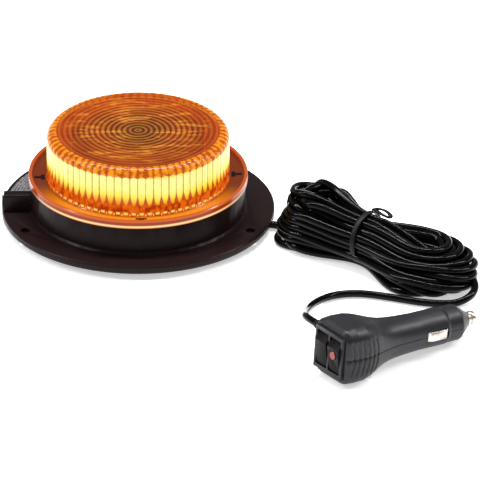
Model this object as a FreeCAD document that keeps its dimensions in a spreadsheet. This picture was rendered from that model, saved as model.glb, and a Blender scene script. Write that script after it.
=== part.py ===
import FreeCAD, Part
import math
import os
import Sketcher

# Low amber warning beacon on a flanged magnetic base, with a tied cord and a 12 V socket plug.
# The lamp stands on z = 0 with its axis on Z. Sizes are millimetres.

doc = FreeCAD.newDocument("warning_beacon")
Vector = FreeCAD.Vector
Rotation = FreeCAD.Rotation
Placement = FreeCAD.Placement

# ---------------------------------------------------------------- driving dimensions
SIZES = {
    # base
    "ground_gap": 3.0, "flange_radius": 75.0, "flange_width": 16.0, "flange_thick": 4.5,
    "edge_break": 0.9, "wall_thick": 2.2, "wall_rise": 16.0, "fit_gap": 0.25,
    "ledge_width": 4.3, "ledge_thick": 2.0, "hole_inset": 6.3, "hole_radius": 2.65,
    "hole_tilt": 26.0, "duct_width": 7.0, "duct_offset": 4.1, "duct_rise": 10.0, "duct_bore": 2.5,
    "boss_inset": 3.8, "boss_radius": 3.1, "boss_rise": 6.0,
    "hook_width": 6.0, "hook_bar": 1.7, "hook_inset": 5.3, "hook_stem": 2.6, "hook_turn": 2.0,
    # bottom cover and magnet
    "cover_thick": 2.2, "cover_recess": 6.0, "post_inset": 6.0, "post_radius": 3.0, "post_rise": 5.3,
    "magnet_gap": 4.0, "cup_wall": 2.0, "boot_thick": 1.5, "boot_wall": 1.8, "bolt_radius": 2.5,
    "gland_wall": 0.8, "gland_side": 13.0, "gland_rise": 3.2, "gland_inset": 12.8, "box_length": 10.0,
    # lens
    "ring_overhang": 1.3, "ring_thick": 2.5, "rim_width": 1.9, "rim_rise": 2.5, "dome_gap": 1.2,
    "dome_wall": 2.9, "dome_rise": 23.5, "shoulder_rise": 4.5, "shoulder_inset": 5.0, "top_wall": 2.2,
    "flute_count": 72, "flute_radius": 0.9, "flute_deep": 0.45,
    # light engine
    "board_gap": 6.5, "board_thick": 1.6, "plate_lift": 5.6, "plate_gap": 5.4, "plate_thick": 2.0,
    "tower_inset": 8.0, "tower_wall": 2.0, "spacer_inset": 7.0, "pillar_inset": 14.0,
    "strip_margin": 2.08, "strip_thick": 1.2, "led_side": 5.0, "led_thick": 1.5,
    "cap_thick": 1.0, "head_room": 3.2,
    # cord
    "cord_radius": 2.1,
    # plug, in its own frame: +X from the switch face to the tip
    "head_half": 16.5, "head_deep": 14.0, "case_wall": 2.0, "barrel_radius": 10.5, "barrel_start": 54.0,
    "barrel_end": 83.0, "barrel_step": 0.4, "step_length": 9.0, "nose_length": 8.0, "nose_radius": 4.9,
    "tip_radius": 4.1, "tip_reach": 6.5, "bezel_inset": 4.2, "pivot_deep": 2.5, "pivot_radius": 0.9,
    "fuse_radius": 3.15, "fuse_length": 30.0, "spring_length": 7.6, "contact_length": 13.4,
    "contact_half": 2.7, "screw_inset": 6.5, "screw_deep": 19.0,
}
sheet = doc.addObject("Spreadsheet::Sheet", "Sizes")
for row, (alias, number) in enumerate(SIZES.items(), 1):
    sheet.set(f"A{row}", alias)
    sheet.set(f"B{row}", str(number))
    sheet.setAlias(f"B{row}", alias)
doc.recompute()

# Levels and radii that several pieces share, as formulas on the sheet.
FLANGE_TOP = "(Sizes.ground_gap + Sizes.flange_thick)"
WALL_TOP = f"({FLANGE_TOP} + Sizes.wall_rise)"
WALL_OUT = "(Sizes.flange_radius - Sizes.flange_width)"
WALL_IN = f"({WALL_OUT} - Sizes.wall_thick)"
LEDGE_IN = f"({WALL_IN} - Sizes.ledge_width)"
HOLE_CIRCLE = "(Sizes.flange_radius - Sizes.hole_inset)"
BOSS_CIRCLE = f"({WALL_IN} - Sizes.boss_inset)"
COVER_LOW = "(Sizes.ground_gap + Sizes.cover_recess)"
COVER_TOP = f"({COVER_LOW} + Sizes.cover_thick)"
BOX_END = f"({WALL_IN} - Sizes.gland_inset)"
BOX_START = f"({BOX_END} - Sizes.box_length)"
MAGNET = f"({BOX_START} - Sizes.magnet_gap)"
GLAND = "(Sizes.cord_radius + Sizes.gland_wall)"
BOARD_LOW = f"({COVER_TOP} + Sizes.post_rise)"
BOARD_TOP = f"({BOARD_LOW} + Sizes.board_thick)"
BOARD = f"({LEDGE_IN} - Sizes.board_gap)"
POST_CIRCLE = f"({BOARD} - Sizes.post_inset)"
HOOK_OUT = f"({WALL_IN} + 0.2)"
HOOK_IN = f"({WALL_IN} - Sizes.hook_inset)"
CHANNEL = f"({WALL_TOP} + Sizes.ring_thick)"
RING = f"({WALL_OUT} + Sizes.ring_overhang)"
RIM_IN = f"({RING} - Sizes.rim_width)"
DOME = f"({HOOK_IN} - Sizes.dome_gap)"
DOME_IN = f"({DOME} - Sizes.dome_wall)"
DOME_TOP = f"({CHANNEL} + Sizes.dome_rise)"
LENS_TOP = f"({DOME_TOP} + Sizes.shoulder_rise)"
TOP = f"({DOME} - Sizes.shoulder_inset)"
PLATE_LOW = f"({WALL_TOP} + Sizes.plate_lift)"
PLATE_TOP = f"({PLATE_LOW} + Sizes.plate_thick)"
PLATE = f"({DOME_IN} - Sizes.plate_gap)"
FLAT = f"({PLATE} - Sizes.tower_inset)"
SPACER_CIRCLE = f"({FLAT} - Sizes.spacer_inset)"
PILLAR_CIRCLE = f"({FLAT} - Sizes.pillar_inset)"
TOWER_TOP = f"({LENS_TOP} - Sizes.top_wall - Sizes.head_room)"
TOWER_RISE = f"({TOWER_TOP} - {PLATE_TOP})"
CAP_TOP = f"({TOWER_TOP} + Sizes.cap_thick)"
STRIP_HALF = f"({FLAT} * tan(22.5) - Sizes.strip_margin)"
SEAT_IN = f"({WALL_IN} + 0.8)"
SEAT_OUT = f"({WALL_OUT} - 0.5)"
SEAT_DEEP = "0.8"
# The plug's shared places, in its own frame.
NOSE_END = "(Sizes.barrel_end + Sizes.nose_length)"
STEP_RADIUS = "(Sizes.barrel_radius - 0.1 - Sizes.barrel_step)"
BORE = "(Sizes.barrel_radius - Sizes.case_wall - 0.2)"
BEZEL = "(Sizes.head_half - Sizes.bezel_inset)"
OPENING = f"({BEZEL} - 2.2)"
ROCKER_SIDE = f"(({BEZEL} - 1.1) / 2)"
ROCKER_HALF = f"({ROCKER_SIDE} - 0.8)"
ROCKER_TALL = f"({OPENING} - 0.7)"
SCREW_SIDE = "(Sizes.head_half - Sizes.screw_inset)"
CONTACT_MIDDLE = "((Sizes.barrel_start + Sizes.barrel_end) / 2 - 2.9)"
FUSE_START = "(Sizes.barrel_end - 3 - Sizes.fuse_length)"
SPRING_START = f"({FUSE_START} - 4.4 - Sizes.spring_length)"

NODES = []


def value(formula):
    """The number that a formula on the sheet gives."""
    found = sheet.evalExpression(formula)
    return float(getattr(found, "Value", found))


def new_body(name, place=None):
    """An empty body that will be written under its label."""
    body = doc.addObject("PartDesign::Body", name)
    body.Label = name
    body.AllowCompound = True
    if place:
        body.Placement = place
    NODES.append(body)
    return body


def origin_part(body, role):
    """One of the body's own origin planes or axes."""
    return next(item for item in body.Origin.OriginFeatures if item.Role == role)


def new_sketch(body, role, lift="0", spin=0.0, about=Vector(0, 0, 1)):
    """An empty sketch on an origin plane, lifted along the plane's normal."""
    sketch = body.newObject("Sketcher::SketchObject", body.Label + "_sketch")
    sketch.AttachmentSupport = [(origin_part(body, role), "")]
    sketch.MapMode = "FlatFace"
    sketch.AttachmentOffset = Placement(Vector(), Rotation(about, spin))
    sketch.setExpression("AttachmentOffset.Base.z", lift)
    return sketch


def hold(sketch, kind, target, formula):
    """Add one dimension to a sketch and bind it to a formula."""
    index = sketch.addConstraint(Sketcher.Constraint(kind, *target, value(formula)))
    sketch.setExpression(f"Constraints[{index}]", formula)


def add_outline(sketch, corners):
    """Add a closed straight-sided outline whose corners are each held by two dimensions."""
    spots = [Vector(value(across), value(up), 0) for across, up in corners]
    first = sketch.GeometryCount
    for here, there in zip(spots, spots[1:] + spots[:1]):
        sketch.addGeometry(Part.LineSegment(here, there), False)
    for index in range(len(corners)):
        following = first + (index + 1) % len(corners)
        sketch.addConstraint(Sketcher.Constraint("Coincident", first + index, 2, following, 1))
    for index, (across, up) in enumerate(corners):
        hold(sketch, "DistanceX", (-1, 1, first + index, 1), across)
        hold(sketch, "DistanceY", (-1, 1, first + index, 1), up)


def add_circle(sketch, radius, across="0", up="0"):
    """Add a circle held by its radius and its centre."""
    index = sketch.addGeometry(Part.Circle(Vector(value(across), value(up), 0), Vector(0, 0, 1),
                                           value(radius)), False)
    hold(sketch, "Radius", (index,), radius)
    hold(sketch, "DistanceX", (-1, 1, index, 3), across)
    hold(sketch, "DistanceY", (-1, 1, index, 3), up)


def add_box(sketch, low_across, high_across, low_up, high_up):
    """Add a rectangle between two formulas each way."""
    add_outline(sketch, [(low_across, low_up), (high_across, low_up),
                         (high_across, high_up), (low_across, high_up)])


def turn(body, sketch, axis="V_Axis", angle=360.0):
    """Revolve a sketch about one of its axes."""
    feature = body.newObject("PartDesign::Revolution", body.Label + "_turn")
    feature.Profile = sketch
    feature.ReferenceAxis = (sketch, [axis])
    feature.Angle = angle
    return feature


def pad(body, sketch, length, reverse=False, middle=False):
    """Extrude a sketch by a formula's length."""
    feature = body.newObject("PartDesign::Pad", body.Label + "_pad")
    feature.Profile = sketch
    feature.Reversed = reverse
    feature.Midplane = middle
    feature.setExpression("Length", length)
    return feature


def pocket(body, sketch, length, reverse=False, middle=False):
    """Cut a sketch into the body, and make sure that it removes something."""
    doc.recompute()
    before = body.Shape.Volume
    feature = body.newObject("PartDesign::Pocket", body.Label + "_pocket")
    feature.Profile = sketch
    feature.Reversed = reverse
    feature.Midplane = middle
    feature.setExpression("Length", length)
    doc.recompute()
    if body.Shape.Volume >= before - 1e-3:
        raise RuntimeError(body.Label + ": a pocket cuts nothing")
    return feature


def around(body, features, count):
    """Repeat features round the body's Z axis."""
    pattern = body.newObject("PartDesign::PolarPattern", body.Label + "_around")
    pattern.Originals = features
    pattern.Axis = (origin_part(body, "Z_Axis"), [""])
    pattern.Angle = 360
    pattern.setExpression("Occurrences", count)
    body.Tip = pattern
    return pattern


def polar(radius, degrees):
    """The two formulas of a point at a radius and an angle."""
    return f"{radius} * cos({degrees})", f"{radius} * sin({degrees})"


def disc(body, radius, lift, thick, across="0", up="0", role="XY_Plane", reverse=False):
    """A round pad on an origin plane."""
    sketch = new_sketch(body, role, lift)
    add_circle(sketch, radius, across, up)
    return pad(body, sketch, thick, reverse)


def screw_ring(name, count, radius, degrees, seat, head, shaft, points_up=True):
    """Identical pan-head screws round the axis, each head on its seat level.

    head is (radius, thickness) and shaft is (radius, length), all formulas.
    """
    body = new_body(name)
    across, up = polar(radius, degrees)
    top = disc(body, head[0], seat, head[1], across, up, reverse=not points_up)
    stem = disc(body, shaft[0], seat, shaft[1], across, up, reverse=points_up)
    around(body, [top, stem], str(count))
    return body


# ---------------------------------------------------------------- lamp: base
def hook_outline(sketch, gap="0"):
    """The T of one lens hook, or of its slot when a gap is given."""
    half_bar = f"(Sizes.hook_width / 2 + {gap})"
    half_stem = f"(Sizes.hook_stem / 2 + {gap})"
    inner = f"({HOOK_IN} - {gap})"
    step = f"({HOOK_IN} + Sizes.hook_bar + {gap})"
    outer = f"({HOOK_OUT} + {gap})"
    add_outline(sketch, [(inner, f"-{half_bar}"), (step, f"-{half_bar}"), (step, f"-{half_stem}"),
                         (outer, f"-{half_stem}"), (outer, half_stem), (step, half_stem),
                         (step, half_bar), (inner, half_bar)])


def make_base_housing():
    """Flange, round wall and cover ledge in one turning, then duct, bosses, hooks and holes."""
    body = new_body("base_housing")
    section = new_sketch(body, "XZ_Plane")
    low = "Sizes.ground_gap"
    add_outline(section, [
        (WALL_IN, low), ("Sizes.flange_radius - Sizes.edge_break", low),
        ("Sizes.flange_radius", f"{low} + Sizes.edge_break"),
        ("Sizes.flange_radius", f"{FLANGE_TOP} - Sizes.edge_break * 0.7"),
        ("Sizes.flange_radius - Sizes.edge_break * 0.7", FLANGE_TOP),
        (f"{WALL_OUT} + 1.2", FLANGE_TOP), (WALL_OUT, f"{FLANGE_TOP} + 1.2"),
        (WALL_OUT, WALL_TOP), (SEAT_OUT, WALL_TOP), (SEAT_OUT, f"{WALL_TOP} - {SEAT_DEEP}"),
        (SEAT_IN, f"{WALL_TOP} - {SEAT_DEEP}"), (SEAT_IN, WALL_TOP), (WALL_IN, WALL_TOP),
        (WALL_IN, f"{COVER_TOP} + Sizes.ledge_thick"), (LEDGE_IN, f"{COVER_TOP} + Sizes.ledge_thick"),
        (LEDGE_IN, COVER_TOP), (WALL_IN, COVER_TOP)])
    turn(body, section)

    boss = disc(body, "Sizes.boss_radius", COVER_TOP, "Sizes.boss_rise", *polar(BOSS_CIRCLE, 30))
    around(body, [boss], "6")

    duct = new_sketch(body, "XY_Plane", f"{FLANGE_TOP} - 1")
    duct_far = "-(Sizes.duct_offset - Sizes.duct_width / 2)"
    duct_near = "-(Sizes.duct_offset + Sizes.duct_width / 2)"
    add_box(duct, "-(Sizes.flange_radius - 0.8)", f"-({WALL_IN} + 0.6)", duct_near, duct_far)
    pad(body, duct, "Sizes.duct_rise + 1")

    hook = new_sketch(body, "XY_Plane", f"{WALL_TOP} - 6", value("Sizes.hook_turn"))
    hook_outline(hook)
    around(body, [pad(body, hook, "Sizes.ring_thick + 6 - 0.2")], "4")

    pilot = new_sketch(body, "XY_Plane", f"{COVER_TOP} + Sizes.boss_rise - 1")
    add_circle(pilot, "1.32", *polar(BOSS_CIRCLE, 30))
    around(body, [pocket(body, pilot, "Sizes.boss_rise")], "6")

    holes = new_sketch(body, "XY_Plane", FLANGE_TOP)
    for degrees in ("(-Sizes.hole_tilt)", "(180 + Sizes.hole_tilt)", "90"):
        add_circle(holes, "Sizes.hole_radius", *polar(HOLE_CIRCLE, degrees))
    pocket(body, holes, "Sizes.flange_thick + 1")

    roof = "(Sizes.gland_rise + Sizes.cord_radius + 0.2)"
    groove = new_sketch(body, "XY_Plane", roof)
    add_box(groove, f"{WALL_IN} - 2", "Sizes.flange_radius + 1",
            f"-Sizes.gland_side - {GLAND} - 0.1", f"-Sizes.gland_side + {GLAND} + 0.1")
    pocket(body, groove, f"{roof} - Sizes.ground_gap + 1")

    bore = new_sketch(body, "YZ_Plane", "-(Sizes.flange_radius - 0.8)")
    add_circle(bore, "Sizes.duct_bore", "-Sizes.duct_offset", f"{FLANGE_TOP} + Sizes.duct_rise / 2")
    pocket(body, bore, f"Sizes.flange_radius - {WALL_IN} + 3", reverse=True)

    doc.recompute()
    top = value(f"{FLANGE_TOP} + Sizes.duct_rise")
    edges = [f"Edge{i}" for i, edge in enumerate(body.Shape.Edges, 1)
             if abs(edge.BoundBox.ZMin - top) < 1e-4 and abs(edge.BoundBox.ZMax - top) < 1e-4
             and edge.BoundBox.XMax < value(f"-{WALL_IN}") and edge.Curve.TypeId == "Part::GeomLine"]
    blank = body.Tip
    rounding = body.newObject("PartDesign::Fillet", "duct_rounding")
    rounding.Base = (blank, edges)
    rounding.Radius = 1.6
    body.Tip = rounding


def make_duct_plug():
    """Rubber blank in the mouth of the side duct that this cable doesn't use."""
    body = new_body("duct_plug")
    middle = ("-Sizes.duct_offset", f"{FLANGE_TOP} + Sizes.duct_rise / 2")
    mouth = "-(Sizes.flange_radius - 0.8)"
    disc(body, "Sizes.duct_bore", mouth, "8", *middle, role="YZ_Plane")
    disc(body, "Sizes.duct_bore + 0.6", mouth, "0.7", *middle, role="YZ_Plane", reverse=True)


def make_rating_label():
    """Thin printed sticker that follows the flange behind the duct."""
    body = new_body("rating_label")
    section = new_sketch(body, "XZ_Plane", "0", 147.0, Vector(0, 1, 0))
    add_box(section, f"{WALL_OUT} + 2.4", "Sizes.flange_radius - 2.4", FLANGE_TOP,
            f"{FLANGE_TOP} + 0.25")
    turn(body, section, angle=29.0)


def make_bottom_cover():
    """Recessed disc with board posts above it and the cable boss below it."""
    body = new_body("bottom_cover")
    section = new_sketch(body, "XZ_Plane")
    add_box(section, "Sizes.bolt_radius + 0.1", f"{WALL_IN} - Sizes.fit_gap", COVER_LOW, COVER_TOP)
    turn(body, section)
    post = disc(body, "Sizes.post_radius", COVER_TOP, "Sizes.post_rise", *polar(POST_CIRCLE, 45))
    around(body, [post], "4")
    boss = new_sketch(body, "XY_Plane", COVER_LOW)
    boss_low = f"(Sizes.gland_rise - {GLAND} + 0.2)"
    add_box(boss, BOX_START, BOX_END, "-Sizes.gland_side - 5.2", "-Sizes.gland_side + 5.2")
    pad(body, boss, f"{COVER_LOW} - {boss_low}", reverse=True)

    holes = new_sketch(body, "XY_Plane", COVER_TOP)
    add_circle(holes, "1.5", *polar(BOSS_CIRCLE, 30))
    around(body, [pocket(body, holes, "Sizes.cover_thick")], "6")
    pilots = new_sketch(body, "XY_Plane", BOARD_LOW)
    add_circle(pilots, "1.22", *polar(POST_CIRCLE, 45))
    around(body, [pocket(body, pilots, "Sizes.post_rise")], "4")
    rise = new_sketch(body, "XY_Plane", COVER_TOP)
    add_circle(rise, "2.6", f"{BOX_START} + 3.4", "-Sizes.gland_side")
    pocket(body, rise, f"{COVER_TOP} - Sizes.gland_rise + 1.4")
    mouth = new_sketch(body, "YZ_Plane", BOX_END)
    add_circle(mouth, f"{GLAND} - 0.6", "-Sizes.gland_side", "Sizes.gland_rise")
    pocket(body, mouth, "Sizes.box_length - 3")


def make_magnet():
    """Pot magnet: steel cup, ferrite ring, rubber boot, countersunk screw and nut."""
    cup = new_body("magnet_cup")
    section = new_sketch(cup, "XZ_Plane")
    inner = f"({MAGNET} - Sizes.cup_wall)"
    add_outline(section, [("Sizes.bolt_radius + 0.1", f"{COVER_LOW} - Sizes.cup_wall"),
                          (inner, f"{COVER_LOW} - Sizes.cup_wall"), (inner, "Sizes.boot_thick"),
                          (MAGNET, "Sizes.boot_thick"), (MAGNET, COVER_LOW),
                          ("Sizes.bolt_radius + 0.1", COVER_LOW)])
    turn(cup, section)

    ring = new_body("magnet_ring")
    section = new_sketch(ring, "XZ_Plane")
    add_box(section, "Sizes.bolt_radius + 3.5", f"{inner} - 0.2", "Sizes.boot_thick",
            f"{COVER_LOW} - Sizes.cup_wall")
    turn(ring, section)

    boot = new_body("magnet_boot")
    section = new_sketch(boot, "XZ_Plane")
    outer = f"({MAGNET} + Sizes.boot_wall)"
    add_outline(section, [("0", "0"), (f"{outer} - 0.8", "0"), (outer, "0.8"),
                          (outer, f"{COVER_LOW} - 0.5"), (MAGNET, f"{COVER_LOW} - 0.5"),
                          (MAGNET, "Sizes.boot_thick"), ("0", "Sizes.boot_thick")])
    turn(boot, section)

    screw = new_body("magnet_screw")
    section = new_sketch(screw, "XZ_Plane")
    plate = f"({COVER_LOW} - Sizes.cup_wall)"
    add_outline(section, [("0", f"{plate} - 2.4"), ("Sizes.bolt_radius + 2", f"{plate} - 2.4"),
                          ("Sizes.bolt_radius + 2", plate), ("Sizes.bolt_radius", plate),
                          ("Sizes.bolt_radius", f"{COVER_TOP} + 4.4"), ("0", f"{COVER_TOP} + 4.4")])
    turn(screw, section)

    nut = new_body("magnet_nut")
    section = new_sketch(nut, "XY_Plane", COVER_TOP)
    add_outline(section, [polar("4.6", 60 * index) for index in range(6)])
    pad(nut, section, "4")
    hole = new_sketch(nut, "XY_Plane", f"{COVER_TOP} + 4")
    add_circle(hole, "Sizes.bolt_radius + 0.02")
    pocket(nut, hole, "4")


def make_cable_entry():
    """Rubber gland with a tapered sleeve, the two leads inside and their connector."""
    gland = new_body("cable_gland")
    section = new_sketch(gland, "XZ_Plane", "Sizes.gland_side")
    axis = "Sizes.gland_rise"
    inside, outside = f"({BOX_END} - 3.8)", f"({BOX_END} + 7)"
    collar = f"({BOX_END} + 1.2)"
    bore = f"({axis} + {GLAND} - 0.65)"
    add_outline(section, [
        (inside, axis), (outside, axis), (outside, f"{axis} + Sizes.cord_radius + 0.25"),
        (collar, f"{axis} + {GLAND} - 0.2"), (collar, f"{axis} + {GLAND}"),
        (BOX_END, f"{axis} + {GLAND}"), (BOX_END, bore), (inside, bore)])
    core = section.addGeometry(Part.LineSegment(Vector(30, value(axis), 0), Vector(60, value(axis), 0)),
                               True)
    for end, along in ((1, inside), (2, outside)):
        hold(section, "DistanceX", (-1, 1, core, end), along)
        hold(section, "DistanceY", (-1, 1, core, end), axis)
    turn(gland, section, axis="Axis0")

    leads = new_body("lamp_leads")
    section = new_sketch(leads, "XY_Plane", "Sizes.gland_rise + 1")
    for side in ("-1", "1"):
        add_circle(section, "0.7", f"{BOX_START} + 3.4", f"-Sizes.gland_side + {side}")
    pad(leads, section, f"{BOARD_LOW} - 4 - Sizes.gland_rise - 1")

    connector = new_body("lead_connector")
    section = new_sketch(connector, "XY_Plane", BOARD_LOW)
    add_box(section, f"{BOX_START} + 0.6", f"{BOX_START} + 6.2", "-Sizes.gland_side - 3.5",
            "-Sizes.gland_side + 3.5")
    pad(connector, section, "4", reverse=True)


# ---------------------------------------------------------------- lamp: light engine
def make_driver_board():
    """Round driver board on the cover posts, with its larger components."""
    board = new_body("driver_board")
    disc(board, BOARD, BOARD_LOW, "Sizes.board_thick")
    holes = new_sketch(board, "XY_Plane", BOARD_TOP)
    add_circle(holes, "1.4", *polar(POST_CIRCLE, 45))
    around(board, [pocket(board, holes, "Sizes.board_thick")], "4")

    capacitors = new_body("capacitors")
    for side in ("-", ""):
        disc(capacitors, "4", BOARD_TOP, f"{PLATE_LOW} - {BOARD_TOP} - 2.5", f"-0.3 * {BOARD}",
             f"{side}0.2 * {BOARD}")

    inductor = new_body("inductor")
    section = new_sketch(inductor, "XY_Plane", BOARD_TOP)
    for radius in ("5.5", "2.2"):
        add_circle(section, radius, f"0.2 * {BOARD}", f"0.24 * {BOARD}")
    pad(inductor, section, "6")

    chip = new_body("controller_chip")
    section = new_sketch(chip, "XY_Plane", BOARD_TOP)
    add_box(section, "-4", "4", "-3", "3")
    pad(chip, section, "1.6")

    transistors = new_body("power_transistors")
    section = new_sketch(transistors, "XY_Plane", BOARD_TOP)
    for share in (0.11, 0.306, 0.502):
        add_box(section, f"{share} * {BOARD}", f"{share} * {BOARD} + 6", f"-0.37 * {BOARD} - 3",
                f"-0.37 * {BOARD} + 3")
    pad(transistors, section, "2.3")


def make_light_tower():
    """Aluminium plate and eight-sided tower that carry the LED boards, and the cap on top."""
    spacers = new_body("tower_spacers")
    around(spacers, [disc(spacers, "3", BOARD_TOP, f"{PLATE_LOW} - {BOARD_TOP}",
                          *polar(SPACER_CIRCLE, 0))], "4")
    holes = new_sketch(spacers, "XY_Plane", PLATE_LOW)
    add_circle(holes, "1.27", *polar(SPACER_CIRCLE, 0))
    around(spacers, [pocket(spacers, holes, "6")], "4")

    plate = new_body("tower_plate")
    disc(plate, PLATE, PLATE_LOW, "Sizes.plate_thick")
    holes = new_sketch(plate, "XY_Plane", PLATE_TOP)
    add_circle(holes, "1.4", *polar(SPACER_CIRCLE, 0))
    around(plate, [pocket(plate, holes, "Sizes.plate_thick")], "4")

    tower = new_body("led_tower")
    section = new_sketch(tower, "XY_Plane", PLATE_TOP)
    for flat in (FLAT, f"({FLAT} - Sizes.tower_wall)"):
        add_outline(section, [polar(f"{flat} / cos(22.5)", 22.5 + 45 * side) for side in range(8)])
    pad(tower, section, TOWER_RISE)

    boards = new_body("led_boards")
    section = new_sketch(boards, "XY_Plane", f"{PLATE_TOP} + 0.3")
    add_box(section, FLAT, f"{FLAT} + Sizes.strip_thick", f"-{STRIP_HALF}", STRIP_HALF)
    around(boards, [pad(boards, section, f"{TOWER_RISE} - 0.6")], "8")

    leds = new_body("leds")
    section = new_sketch(leds, "YZ_Plane", f"{FLAT} + Sizes.strip_thick")
    middle = f"({PLATE_TOP} + {TOWER_RISE} / 2)"
    for across in ("-1", "1"):
        for up in ("-1", "1"):
            centre = f"{across} * {STRIP_HALF} / 2"
            level = f"{middle} + {up} * ({TOWER_RISE} / 4 - 0.175)"
            add_box(section, f"{centre} - Sizes.led_side / 2", f"{centre} + Sizes.led_side / 2",
                    f"{level} - Sizes.led_side / 2", f"{level} + Sizes.led_side / 2")
    around(leds, [pad(leds, section, "Sizes.led_thick")], "8")

    pillars = new_body("cap_spacers")
    around(pillars, [disc(pillars, "2.5", PLATE_TOP, TOWER_RISE, PILLAR_CIRCLE, "0")], "4")
    holes = new_sketch(pillars, "XY_Plane", TOWER_TOP)
    add_circle(holes, "1.22", PILLAR_CIRCLE, "0")
    around(pillars, [pocket(pillars, holes, "7")], "4")

    cap = new_body("tower_cap")
    section = new_sketch(cap, "XY_Plane", TOWER_TOP)
    add_outline(section, [polar(f"({FLAT} + 2.5) / cos(22.5)", 22.5 + 45 * side) for side in range(8)])
    pad(cap, section, "Sizes.cap_thick")
    holes = new_sketch(cap, "XY_Plane", CAP_TOP)
    add_circle(holes, "1.3", PILLAR_CIRCLE, "0")
    around(cap, [pocket(cap, holes, "Sizes.cap_thick")], "4")


# ---------------------------------------------------------------- lamp: lens
def make_lens():
    """Amber dome: turned section, flutes round the wall and four hook slots in the ring."""
    body = new_body("lens_dome")
    section = new_sketch(body, "XZ_Plane")
    spigot_out = f"({WALL_IN} - 0.4)"
    spigot_in = f"({WALL_IN} - 2.2)"
    spigot_low = f"({WALL_TOP} - 2.5)"
    add_outline(section, [
        (spigot_in, spigot_low), (spigot_out, spigot_low), (spigot_out, WALL_TOP),
        (RING, WALL_TOP), (RING, f"{CHANNEL} + Sizes.rim_rise"),
        (RIM_IN, f"{CHANNEL} + Sizes.rim_rise"), (RIM_IN, CHANNEL), (DOME, CHANNEL),
        (DOME, DOME_TOP), (TOP, LENS_TOP), ("0", LENS_TOP),
        ("0", f"{LENS_TOP} - Sizes.top_wall"),
        (f"{TOP} - 1", f"{LENS_TOP} - Sizes.top_wall"), (DOME_IN, f"{DOME_TOP} - 1"),
        (DOME_IN, WALL_TOP), (spigot_in, WALL_TOP)])
    turn(body, section)
    slots = new_sketch(body, "XY_Plane", CHANNEL, value("Sizes.hook_turn"))
    hook_outline(slots, "Sizes.fit_gap")
    around(body, [pocket(body, slots, "Sizes.ring_thick + 3")], "4")
    flute = new_sketch(body, "XY_Plane", f"{DOME_TOP} - 0.2")
    add_circle(flute, "Sizes.flute_radius", f"{DOME} + Sizes.flute_radius - Sizes.flute_deep")
    around(body, [pocket(body, flute, "Sizes.dome_rise - 1")], "Sizes.flute_count")

    seal = new_body("lens_seal")
    section = new_sketch(seal, "XZ_Plane")
    add_box(section, SEAT_IN, SEAT_OUT, f"{WALL_TOP} - {SEAT_DEEP}", WALL_TOP)
    turn(seal, section)


# ---------------------------------------------------------------- plug
def plug_place():
    """Where the plug lies: its head and the end of its barrel rest on the surface."""
    head, barrel = value("Sizes.head_half"), value("Sizes.barrel_radius")
    span = value("Sizes.barrel_end - Sizes.head_deep")
    droop = math.atan((head - barrel) / span)
    height = head * math.cos(droop) + value("Sizes.head_deep") * math.sin(droop) + 0.15
    aim = Rotation(Vector(0, 0, 1), 36.5).multiply(Rotation(Vector(0, 1, 0), math.degrees(droop)))
    return Placement(Vector(105.2, -195.5, height), aim)


PLUG = plug_place()
# Each section of the grip: distance from the switch face, half width, half height, and its corner
# radius as a share of the half width.
SWELL = "(Sizes.head_half - Sizes.barrel_radius)"
GRIP = [
    ("0", "Sizes.head_half - 2.8", "Sizes.head_half - 2.5", 0.4),
    ("2.2", "Sizes.head_half - 1.0", "Sizes.head_half - 0.7", 0.45),
    ("Sizes.head_deep * 0.5", "Sizes.head_half - 0.3", "Sizes.head_half - 0.1", 0.494),
    ("Sizes.head_deep", "Sizes.head_half - 0.2", "Sizes.head_half", 0.552),
    ("Sizes.head_deep + 8", f"Sizes.barrel_radius + 0.7 * {SWELL}",
     f"Sizes.barrel_radius + 0.767 * {SWELL}", 0.714),
    ("Sizes.head_deep + 16", f"Sizes.barrel_radius + 0.333 * {SWELL}",
     f"Sizes.barrel_radius + 0.4 * {SWELL}", 0.88),
    ("Sizes.head_deep + 25", "Sizes.barrel_radius + 0.5", "Sizes.barrel_radius + 0.8", 0.927),
    ("Sizes.barrel_start", "Sizes.barrel_radius - 0.02", "Sizes.barrel_radius - 0.02", 0.983),
]
GRIP = [(along, wide, tall, f"{share} * ({wide})") for along, wide, tall, share in GRIP]


def rounded_section(body, along, half_width, half_height, corner):
    """A rounded rectangle across the plug's axis, its straight sides held at both ends."""
    sketch = new_sketch(body, "YZ_Plane", along)
    wide, tall = f"({half_width})", f"({half_height})"
    flat_wide, flat_tall = f"({half_width} - ({corner}))", f"({half_height} - ({corner}))"
    sides = [((wide, f"-{flat_tall}"), (wide, flat_tall)), ((flat_wide, tall), (f"-{flat_wide}", tall)),
             ((f"-{wide}", flat_tall), (f"-{wide}", f"-{flat_tall}")),
             ((f"-{flat_wide}", f"-{tall}"), (flat_wide, f"-{tall}"))]
    centres = [(flat_wide, flat_tall), (f"-{flat_wide}", flat_tall), (f"-{flat_wide}", f"-{flat_tall}"),
               (flat_wide, f"-{flat_tall}")]
    for index, (side, centre) in enumerate(zip(sides, centres)):
        here, there = (Vector(value(across), value(up), 0) for across, up in side)
        sketch.addGeometry(Part.LineSegment(here, there), False)
        circle = Part.Circle(Vector(value(centre[0]), value(centre[1]), 0), Vector(0, 0, 1), value(corner))
        start = math.radians(90 * index)
        sketch.addGeometry(Part.ArcOfCircle(circle, start, start + math.pi / 2), False)
    for index in range(8):
        sketch.addConstraint(Sketcher.Constraint("Coincident", index, 2, (index + 1) % 8, 1))
    for index, side in enumerate(sides):
        for end, (across, up) in enumerate(side, 1):
            hold(sketch, "DistanceX", (-1, 1, 2 * index, end), across)
            hold(sketch, "DistanceY", (-1, 1, 2 * index, end), up)
        hold(sketch, "Radius", (2 * index + 1,), corner)
    return sketch


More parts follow.
